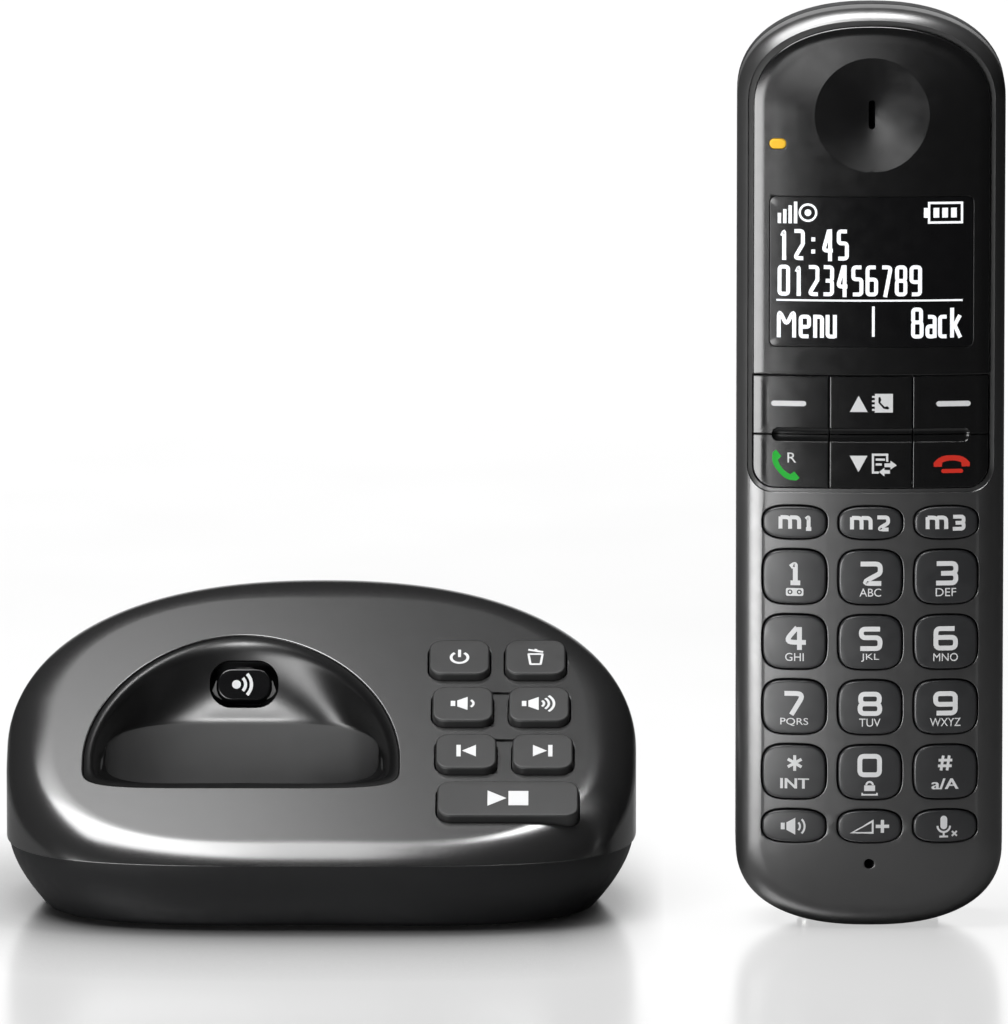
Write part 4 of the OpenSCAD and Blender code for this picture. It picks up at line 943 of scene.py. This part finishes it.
def moulded(name, colour, rough, specular, vary, uneven, grain, grain_scale, ior=1.5):
    """Moulded plastic: colour that drifts a little, uneven gloss and a fine grain."""
    material, tree, shader = tree_of(name)
    set_inputs(shader, {"Specular IOR Level": specular, "IOR": ior})
    drift = noise(tree, DRIFT_SCALE)
    dark = tuple(c * (1 - vary) for c in colour)
    light = tuple(c * (1 + vary) for c in colour)
    tree.links.new(tinted(tree, drift, dark, light), shader.inputs["Base Color"])
    gloss = spread(tree, noise(tree, GLOSS_SCALE, 4), rough * (1 - uneven), rough * (1 + uneven))
    tree.links.new(gloss, shader.inputs["Roughness"])
    grained(tree, shader, grain_scale, grain, GRAIN_DEPTH)
    return material


def glowing(name, colour, strength, rough):
    """Printed or lit marking with a faint fleck."""
    material = moulded(name, colour, rough, 0.3, 0.05, 0.1, 0.05, 3000)
    set_inputs(material.node_tree.nodes["Principled BSDF"],
               {"Emission Color": (*colour, 1), "Emission Strength": strength})
    return material


def metal_finish(name, colour, rough, stretch):
    material, tree, shader = tree_of(name)
    shader.inputs["Metallic"].default_value = 1
    brushed = noise(tree, 900, 4, stretch)
    dark = tuple(c * 0.85 for c in colour)
    tree.links.new(tinted(tree, brushed, dark, colour), shader.inputs["Base Color"])
    tree.links.new(spread(tree, brushed, rough * 0.8, rough * 1.2), shader.inputs["Roughness"])
    return material


def board_finish(name):
    """Green lacquer over copper tracks."""
    material, tree, shader = tree_of(name)
    coords = tree.nodes.new("ShaderNodeTexCoord")
    tracks = tree.nodes.new("ShaderNodeTexBrick")
    set_inputs(tracks, {"Scale": 260, "Mortar Size": 0.03, "Color1": (0.018, 0.085, 0.03, 1),
                        "Color2": (0.024, 0.1, 0.036, 1), "Mortar": (0.05, 0.16, 0.06, 1)})
    tree.links.new(coords.outputs["Object"], tracks.inputs["Vector"])
    tree.links.new(tracks.outputs["Color"], shader.inputs["Base Color"])
    tree.links.new(spread(tree, noise(tree, 400), 0.28, 0.4), shader.inputs["Roughness"])
    grained(tree, shader, 700, 0.15, 0.00005)
    return material


# After the colour: roughness, specular level, drift of colour, uneven gloss, grain and its scale
SHELL = moulded("shell_plastic", (0.02, 0.02, 0.0202), 0.21, 1.0, 0.04, 0.03, 0.02, 3200, ior=1.7)
HAND_SHELL = moulded("handset_plastic", (0.026, 0.026, 0.0262), 0.33, 1.0, 0.04, 0.06, 0.05, 3200, ior=1.7)
DARK_SHELL = moulded("dark_shell_plastic", (0.012, 0.0122, 0.013), 0.45, 0.3, 0.06, 0.1, 0.2, 2600)
GLOSS = moulded("gloss_black", (0.005, 0.005, 0.0055), 0.2, 0.8, 0.1, 0.12, 0.02, 1500)
FACE = moulded("face_black", (0.006, 0.006, 0.0062), 0.2, 0.8, 0.08, 0.1, 0.05, 2800)
WINDOW = moulded("display_window", (0.005, 0.005, 0.0055), 0.2, 0.6, 0.1, 0.15, 0.01, 900)
WELL = moulded("well_plastic", (0.006, 0.006, 0.0062), 0.33, 0.8, 0.06, 0.04, 0.02, 3200)
POCKET = moulded("pocket_plastic", (0.05, 0.05, 0.0505), 0.4, 0.5, 0.04, 0.08, 0.12, 3200)
KEY = moulded("key_plastic", (0.022, 0.0225, 0.024), 0.36, 0.8, 0.05, 0.1, 0.12, 3000)
BASE_KEY = moulded("base_key_plastic", (0.027, 0.027, 0.0272), 0.4, 0.45, 0.05, 0.1, 0.14, 3000)
INK_WHITE = moulded("white_print", (0.74, 0.745, 0.75), 0.5, 0.3, 0.03, 0.1, 0.08, 3000)
INK_GREEN = moulded("green_print", (0.004, 0.42, 0.025), 0.5, 0.3, 0.05, 0.1, 0.08, 3000)
INK_RED = moulded("red_print", (0.66, 0.028, 0.014), 0.5, 0.3, 0.05, 0.1, 0.08, 3000)
PIXELS = glowing("display_pixels", (0.8, 0.82, 0.84), 0.55, 0.5)
AMBER = glowing("amber_lens", (0.82, 0.48, 0.045), 0.35, 0.2)
CARRIED = {
    "mat": moulded("keypad_silicone", (0.26, 0.265, 0.27), 0.6, 0.4, 0.05, 0.1, 0.2, 1800),
    "foot": moulded("foot_rubber", (0.012, 0.012, 0.013), 0.75, 0.3, 0.1, 0.1, 0.3, 2000),
    "board": board_finish("board_lacquer"),
    "black_part": moulded("black_nylon", (0.012, 0.012, 0.013), 0.5, 0.4, 0.08, 0.1, 0.2, 2400),
    "metal": metal_finish("plated_metal", (0.72, 0.72, 0.7), 0.28, (1, 1, 6)),
    "cell": moulded("cell_wrap", (0.09, 0.2, 0.16), 0.35, 0.5, 0.1, 0.1, 0.05, 1200),
}

CLOTH = moulded("acoustic_cloth", (0.006, 0.006, 0.0065), 0.85, 0.15, 0.2, 0.1, 0.5, 4000)
CLOTHED = {"earpiece_receiver": CLOTH, "microphone": CLOTH, "paging_switch": CARRIED["black_part"]}


# Base station

BASE = Matrix.Translation((BASE_X, BASE_Y, 0))


def slope_place(x, s):
    lie = Matrix.Translation((0, 0, TOP_H)) @ Matrix.Rotation(TOP_SLOPE, 4, "X")
    return BASE @ lie @ Matrix.Translation((x, s, 0))


settle(base_upper(), BASE, "base", SHELL, "shell", "base_upper_housing")
settle(base_lower(), BASE, "base", DARK_SHELL, "dark_shell", "base_lower_housing")
cup = cradle()
below_rim = [int(below_pocket_rim(polygon.center)) for polygon in cup.data.polygons]
settle(cup, BASE, "base", WELL, "gloss_black", "cradle_cup")
cup.data.materials.append(POCKET)
cup.data.polygons.foreach_set("material_index", below_rim)
settle(flat_key("paging_cap", PAGING_W, PAGING_H, PAGING_R, PAGING_SKIRT, PAGING_RISE, 0.4), BASE @ PAGING,
       "paging_key", GLOSS, "gloss_black", "paging_key")

speaker_cone = fill([(-1.03, -0.82), (0.88, -1.85), (0.88, 1.85), (-1.03, 0.82)])
speaker_box = box(-2.24, -0.72, -1.4, 0.72)
skip_mark = box(-1.8, -1.62, -1, 1.62) + fill([(-0.75, 0), (1.8, -1.62), (1.8, 1.62)])
BASE_LEGENDS = {
    "power_key": arc((0, -0.25), 1.55, 125, 415, 0.52) + stroke([(0, -0.1), (0, 1.95)], 0.55),
    "delete_key": (stroke([(-1.3, 0.75), (1.3, 0.75), (0.95, -2.15), (-0.95, -2.15)], 0.42, 0.1, True)
                   + stroke([(-1.35, 2.0), (1.4, 1.35)], 0.45) + stroke([(-0.2, 2.05), (0.3, 1.95)], 0.4)),
    "volume_down_key": speaker_box + speaker_cone + arc((0.75, 0), 1.2, -52, 52, 0.45),
    "volume_up_key": (moved(speaker_box + speaker_cone, -0.95, 0) + arc((-0.2, 0), 1.1, -48, 48, 0.45)
                      + arc((-0.2, 0), 2.0, -48, 48, 0.45) + arc((-0.2, 0), 2.95, -48, 48, 0.48)),
    "previous_key": skip_mark,
    "next_key": moved(skip_mark, 0, 0, 1, 180),
    "play_key": fill([(-3.75, -2.15), (-0.3, 0), (-3.75, 2.15)]) + box(0.1, -2, 3.75, 2),
}
for name, x, s, w in base_key_places():
    cap = flat_key(name + "_cap", w, BASE_KEY_H, BASE_KEY_R, -BASE_WALL, BASE_KEY_RISE, 0.42)
    settle(cap, slope_place(x, s), name, BASE_KEY, "key", name)
    printed(name + "_legend", BASE_LEGENDS[name], lambda px, py: BASE_KEY_RISE, slope_place(x, s), name,
            INK_WHITE, "key")
waves = [disc((-1.42, 0), 0.82)]
for radius, width in ((1.68, 0.58), (2.78, 0.6)):
    waves += arc((-1.42, 0), radius, -45, 45, width)
printed("paging_legend", waves, lambda px, py: PAGING_RISE, BASE @ PAGING, "paging_key", INK_WHITE, "key")


# Handset

HANDSET = Matrix.Translation((HANDSET_X, -HANDSET_FORWARD, 0)) @ Matrix.Rotation(math.pi / 2, 4, "X")
BACK = HANDSET @ Matrix.Scale(-1, 4, (0, 0, 1))
settle(front_shell(), HANDSET, "handset", HAND_SHELL, "shell", "handset_front_housing")
settle(rear_shell(), BACK, "handset", DARK_SHELL, "dark_shell", "handset_rear_housing")
settle(door_panel(), BACK, "battery_door", DARK_SHELL, "dark_shell", "battery_door")
face = fascia()
settle(face, HANDSET, "handset", FACE, "gloss_black", "handset_fascia")
glass = cap_form(WINDOW_OUTLINE, FASCIA_SEAT, crown_z, 0.08, lambda p: Vector((0, DISPLAY_Y)), 14)
settle(lofts("display_glass", [glass]), HANDSET, "handset", WINDOW, "display", "display_module")
lens = cap_form(LAMP_OUTLINE, FASCIA_SEAT, lambda x, y: crown_z(LAMP_X, y) + 0.08, 0.25,
                lambda p: Vector((LAMP_X, LAMP_Y)), 4)
settle(lofts("lamp_lens", [lens]), HANDSET, "handset", AMBER, "lamp", "event_lamp")

book = fill([(0.7, 96.3), (4.0, 96.3), (4.0, 99.75), (0.7, 99.75)],
            [(1.35, 99.1), (1.7, 99.2), (1.9, 98.6), (1.7, 98.2), (2.5, 97.35), (2.95, 97.5),
             (3.4, 97.1), (3.1, 96.85), (2.3, 97.0), (1.35, 98.1)])
for ring_y in (99.2, 98.4, 97.6, 96.8):
    book += stroke([(0.2, ring_y), (0.75, ring_y)], 0.35)
call_list = stroke([(3.0, 87.2), (3.0, 88.5), (0.4, 88.5), (0.4, 85.2), (1.5, 85.2)], 0.4)
call_list += stroke([(0.9, 87.6), (2.6, 87.6)], 0.4) + stroke([(0.9, 86.7), (2.0, 86.7)], 0.4)
call_list += fill([(2.5, 86.9), (3.6, 86.9), (3.6, 87.4), (4.75, 86.55),
                   (3.6, 85.75), (3.6, 86.2), (2.5, 86.2)])
call_list += fill([(1.5, 85.3), (2.5, 84.5), (2.5, 85.0), (3.5, 85.0),
                   (3.5, 85.65), (2.5, 85.65), (2.5, 86.1)])
NAV_LEGENDS = {
    "soft_left_key": (INK_WHITE, stroke([(-17.7, 97.85), (-12.3, 97.85)], 0.97, round_ends=True)),
    "soft_right_key": (INK_WHITE, stroke([(12.4, 97.85), (17.7, 97.85)], 0.97, round_ends=True)),
    "up_key": (INK_WHITE, fill([(-3.86, 96.4), (-0.62, 96.4), (-2.24, 99.4)]) + book),
    "down_key": (INK_WHITE, fill([(-3.86, 88.3), (-2.24, 85.3), (-0.62, 88.3)]) + call_list),
    "talk_key": (INK_GREEN, moved(receiver_shape(3.35, 1.5, 0.95, 0.75), -15.7, 86.2, 1, 130)),
    "end_key": (INK_RED, moved(receiver_shape(3.3, 1.35, 0.95, 0.75), 14.8, 86.95, 1, 0)
                + stroke([(13.25, 85.4), (16.5, 85.4)], 0.75, round_ends=True)),
}
for name, x, y, w, h, radii in nav_keys():
    settle(nav_key(name, x, y, w, h, radii), HANDSET, name, FACE, "gloss_black", name)
    ink, shapes = NAV_LEGENDS[name]
    printed(name + "_legend", shapes, front_z, HANDSET, name, ink, "gloss_black")
printed("recall_letter", words("R", 1.85, -14.4, 87.85, 1.6), front_z, HANDSET, "talk_key", INK_WHITE,
        "gloss_black")

LETTERS = {"2": ("ABC", 3.95), "3": ("DEF", 3.75), "4": ("GHI", 3.4), "5": ("JKL", 3.3), "6": ("MNO", 4.5),
           "7": ("PQRS", 5.1), "8": ("TUV", 3.9), "9": ("WXYZ", 5.6)}


def dial_legend(sign):
    if sign == "star":
        spokes = []
        for turn in range(90, 450, 60):
            spokes += moved(stroke([(0, 0), (1.45, 0)], 0.55), 0.1, 1.7, 1, turn)
        return spokes + bold("INT", 1.9, 0.1, -2.1, 5.1)
    if sign == "hash":
        bars = stroke([(-0.75, 0.35), (-0.35, 3.1)], 0.5) + stroke([(0.35, 0.35), (0.75, 3.1)], 0.5)
        bars += stroke([(-1.3, 1.2), (1.2, 1.2)], 0.5) + stroke([(-1.2, 2.25), (1.3, 2.25)], 0.5)
        return bars + bold("a/A", 2.0, 0, -2.15, 4.8)
    if sign == "0":
        lock = box(-1, -3.4, 1, -2.35) + arc((0, -2.3), 0.6, 0, 180, 0.36)
        tray = stroke([(-1.35, -3.75), (-1.35, -4.1), (1.35, -4.1), (1.35, -3.75)], 0.3)
        return figure("0", 0, 1.35, 1.8, 1.72, 0.88, 0.85) + lock + tray
    shapes = figure(sign, 0, 0.75, 1.8, 1.8, 0.88, 0.85)
    if sign == "1":
        middles = [(-0.85, -2.75), (0.85, -2.75)]
        reels = [circle(0.46, 20, *middle) for middle in middles]
        tape = fill(rounded_rect(3.2, 1.45, 0.3, 0, -2.75), *reels)
        return shapes + tape + [disc(middle, 0.22) for middle in middles]
    text, width = LETTERS[sign]
    return shapes + words(text, 1.5, 0, -2.75, width)


def memory_legend(number):
    m_x, figure_x = (-0.92, 2.45) if number == "1" else (-1.7, 2.2)
    return figure("m", m_x, 0, 1.7, 1.12, 0.72, 0.75) + figure(number, figure_x, 0, 0.98, 1.12, 0.7, 0.5)


def bottom_legend(name):
    if name == "speaker_key":
        waves = arc((0.1, 0), 1.0, -45, 45, 0.36) + arc((0.1, 0), 1.85, -45, 45, 0.36)
        return moved(speaker_box + speaker_cone, -0.5, 0, 0.85) + waves
    if name == "boost_key":
        return (stroke([(-3.2, -1.1), (0.6, -1.1), (0.6, 1.1)], 0.34, closed=True)
                + stroke([(1.15, 0.1), (3.6, 0.1)], 0.6) + stroke([(2.375, -1.1), (2.375, 1.3)], 0.6))
    shapes = stroke([(-0.2, 0.1), (-0.2, 1.35)], 1.25, round_ends=True)
    shapes += arc((-0.2, 0.1), 1.15, 180, 360, 0.36) + stroke([(-0.2, -1.0), (-0.2, -1.8)], 0.36)
    shapes += stroke([(-1.0, -1.9), (0.6, -1.9)], 0.36)
    return shapes + stroke([(1.3, -1.8), (2.2, -0.9)], 0.32) + stroke([(1.3, -0.9), (2.2, -1.8)], 0.32)


for name, x, y, h, square in dial_keys():
    settle(oval_key(name, x, y, h, square), HANDSET, name, KEY, "key", name)
    sign = name.split("_")[-1]
    if name.startswith("memory"):
        shapes = memory_legend(sign)
    elif name.startswith("dial"):
        shapes = dial_legend(sign)
    else:
        shapes = bottom_legend(name)

    def key_top(px, py):
        return oval_key_top(px, py, x, y, h)
    printed(name + "_legend", moved(shapes, x, y), key_top, HANDSET, name, INK_WHITE, "key")
    if sign == "5":
        mark = stroke([(x - 0.9, y + 3.95), (x + 0.9, y + 3.95)], 0.45, round_ends=True)
        printed(name + "_mark", mark, key_top, HANDSET, name, KEY, "key", 0.14)

# Display: bars, battery, two rows of figures, a rule and the two menu words
DISPLAY_LEFT, STATUS_LOW, DISPLAY_STROKE, DISPLAY_HALF_W, DISPLAY_HALF_H = -17.1, 131.1, 0.72, 0.78, 2.5


def display_figures(text, left, y, pitch):
    """Tall narrow figures in a row."""
    shapes = []
    for k, sign in enumerate(text):
        x = left + DISPLAY_HALF_W + DISPLAY_STROKE / 2 + pitch * k
        shapes += figure(sign, x, y, DISPLAY_HALF_W, DISPLAY_HALF_H, DISPLAY_STROKE, 0.55)
    return shapes


display_shapes = []
for k in range(4):
    left = DISPLAY_LEFT + 0.98 * k
    display_shapes += box(left, STATUS_LOW, left + 0.62, STATUS_LOW + 1.9 + 0.7 * k)
display_shapes += arc((-11.6, 133.1), 1.5, 0, 360, 0.4) + [disc((-11.6, 133.1), 0.62)]
battery = [(10.45 + 2 * k, 131.3) for k in range(4)] + [(16.45 - 2 * k, 134.9) for k in range(4)]
display_shapes += stroke(battery, 0.42, closed=True)
display_shapes += box(9.5, 132.2, 10.24, 134.0)
for k in range(3):
    display_shapes += box(11.25 + 1.6 * k, 132.2, 12.3 + 1.6 * k, 134.0)
display_shapes += display_figures("12:45", DISPLAY_LEFT, 127.2, 2.67)
display_shapes += display_figures("0123456789", DISPLAY_LEFT, 120.6, 2.67)
display_shapes += stroke([(mix(-17.3, 16.65, k / 16), 116.95) for k in range(17)], 0.34)
MENU_SIGNS = [("M", -15.45, 1.4), ("e", -12.1, 0.76), ("n", -9.6, 0.62), ("u", -7.3, 0.66),
              ("B", 8.4, 0.78), ("a", 10.9, 0.66), ("c", 13.15, 0.62), ("k", 15.45, 0.72)]
for sign, x, half_w in MENU_SIGNS:
    display_shapes += figure(sign, x, 112.8, half_w, DISPLAY_HALF_H, DISPLAY_STROKE, 0.5)
display_shapes += stroke([(0.37, 110.3), (0.37, 115.9)], 0.5)
printed("display_text", display_shapes, crown_z, HANDSET, "handset", PIXELS, "display", 0.015)


# Carried-over pieces, light, floor and camera

slots = {part["node"]: part["material_slot"] for part in frame["record"]["subparts"]}
for name, piece in nodes.items():
    if name not in replaced_nodes:
        for holder in piece.material_slots:
            holder.material = CLOTHED.get(name, CARRIED[slots[name]])


def turned(place, aim):
    """Turn of a lamp or camera at a place that looks at an aim."""
    return (Vector(aim) - Vector(place)).to_track_quat("-Z", "Y").to_euler()


def area_light(name, place, aim, w, h, radiance, lit=None, spared=None):
    """A rectangular lamp, which may light one piece only or spare one piece."""
    lamp_data = bpy.data.lights.new(name, "AREA")
    lamp_data.shape = "RECTANGLE"
    lamp_data.size, lamp_data.size_y = w, h
    lamp_data.energy = radiance * math.pi * w * h
    light = bpy.data.objects.new(name, lamp_data)
    light.location = place
    light.rotation_euler = turned(place, aim)
    bpy.context.scene.collection.objects.link(light)
    if lit or spared:
        receivers = bpy.data.collections.new(name + "_receivers")
        receivers.objects.link(lit or spared)
        receivers.collection_objects[0].light_linking.link_state = "INCLUDE" if lit else "EXCLUDE"
        light.light_linking.receiver_collection = receivers


# Name, place, aim, width, height and radiance of each lamp
area_light("top_softbox", (-0.3, -0.15, 0.838), (-0.3, -0.01, 0.05), 0.5, 0.52, 8.5, spared=cup)
area_light("rear_softbox", (-0.3, 0.2, 0.838), (-0.3, 0, 0.05), 0.5, 0.18, 3.2, spared=cup)
area_light("left_softbox", (-0.52, -0.725, -0.03), (0.009, 0.003, 0.06), 0.766, 0.36, 9)
area_light("cradle_light", (-0.05, -0.52, 0.65), (-0.05, 0, 0.04), 0.2, 0.18, 32, lit=cup)
area_light("earpiece_light", (-0.03, -0.93, 0.22), (0.067, -0.03, 0.15), 0.2, 0.16, 2.5, lit=face)
area_light("handset_top_strip", (0.067, -0.01, 0.36), (0.067, -0.03, 0.17), 0.1, 0.08, 14)


def value_node(tree, operation, first, second):
    """Sum, product or other plain result of two values, each a number or an output."""
    node = tree.nodes.new("ShaderNodeMath")
    node.operation = operation
    for socket, value in zip(node.inputs, (first, second)):
        if isinstance(value, (int, float)):
            socket.default_value = value
        else:
            tree.links.new(value, socket)
    return node.outputs["Value"]


def axes(tree, kind):
    """X, Y and Z of a kind of coordinates."""
    coords = tree.nodes.new("ShaderNodeTexCoord")
    split = tree.nodes.new("ShaderNodeSeparateXYZ")
    tree.links.new(coords.outputs[kind], split.inputs["Vector"])
    return split.outputs


# World: a white band low behind the set for reflections, little light elsewhere, and white for the camera
FILL, BEHIND, BAND_SIDES, BAND_TOP = 0.012, 0.5, (0.3, 0.12), (0.38, 0.2)
world = bpy.data.worlds.new("studio")
bpy.context.scene.world = world
world.use_nodes = True
sky = world.node_tree
way = axes(sky, "Generated")
central = ranged(sky, value_node(sky, "ABSOLUTE", way["X"], 0), *BAND_SIDES, blend="SMOOTHSTEP")
low = ranged(sky, way["Z"], *BAND_TOP, blend="SMOOTHSTEP")
band = value_node(sky, "MULTIPLY", low, value_node(sky, "GREATER_THAN", way["Y"], BEHIND))
band = value_node(sky, "MULTIPLY", central, band)
sight = sky.nodes.new("ShaderNodeLightPath").outputs
mirrored = value_node(sky, "ADD", sight["Is Glossy Ray"], sight["Is Transmission Ray"])
dim = value_node(sky, "MAXIMUM", value_node(sky, "MULTIPLY", mirrored, band), FILL)
background = sky.nodes["Background"]
background.inputs["Color"].default_value = (1, 1, 1, 1)
sky.links.new(value_node(sky, "MAXIMUM", sight["Is Camera Ray"], dim), background.inputs["Strength"])

# Floor: it ends between the set and the camera, out of the picture, where the low left lamp shines past it.
# The camera sees it glow, more towards the back and less where the base stands: a painted contact shadow.
FLOOR_REACH, FLOOR_FRONT, NEAR_GLOW, FAR_GLOW, GLOW_SPAN = 6, -0.16, 0.5, 0.6, (0.3, 0.7)
CONTACT_REACH, CONTACT_DEPTH, BASE_END = 0.045, 4, (0.03, 0.01)
floor = new_object("floor", [(-FLOOR_REACH, FLOOR_FRONT, 0), (FLOOR_REACH, FLOOR_FRONT, 0),
                             (FLOOR_REACH, FLOOR_REACH, 0), (-FLOOR_REACH, FLOOR_REACH, 0)], [(0, 1, 2, 3)])
material, tree, shader = tree_of("pale_floor")
set_inputs(shader, {"Specular IOR Level": 1, "IOR": 2.2, "Emission Color": (1, 1, 1, 1)})
tree.links.new(tinted(tree, noise(tree, 3), [0.298] * 3, [0.302] * 3), shader.inputs["Base Color"])
tree.links.new(spread(tree, noise(tree, 20), 0.19, 0.21), shader.inputs["Roughness"])
spot = axes(tree, "Object")
# Painted contact shadow: ambient occlusion dims the floor's glow beside the base, not beside the handset
contact = tree.nodes.new("ShaderNodeAmbientOcclusion")
contact.inputs["Distance"].default_value = CONTACT_REACH
under_base = ranged(tree, spot["X"], *BASE_END, 0, CONTACT_DEPTH)
painted_contact_shade = value_node(tree, "POWER", contact.outputs["AO"], under_base)
glow = value_node(tree, "MULTIPLY", painted_contact_shade, ranged(tree, spot["Y"], *GLOW_SPAN, NEAR_GLOW, FAR_GLOW))
seen = tree.nodes.new("ShaderNodeLightPath").outputs["Is Camera Ray"]
tree.links.new(value_node(tree, "MULTIPLY", seen, glow), shader.inputs["Emission Strength"])
floor.data.materials.append(material)

CAMERA_AT, CAMERA_AIM = (0.0159, -3.0, 0.5875), (0.0003, -0.02, 0.0756)
camera_data = bpy.data.cameras.new("camera")
camera_data.lens = 579.6
camera_data.sensor_width = 36
camera_data.clip_end = 50
camera = bpy.data.objects.new("camera", camera_data)
camera.location = CAMERA_AT
camera.rotation_euler = turned(CAMERA_AT, CAMERA_AIM)
bpy.context.scene.collection.objects.link(camera)
bpy.context.scene.camera = camera
bpy.context.scene.view_settings.view_transform = "Standard"
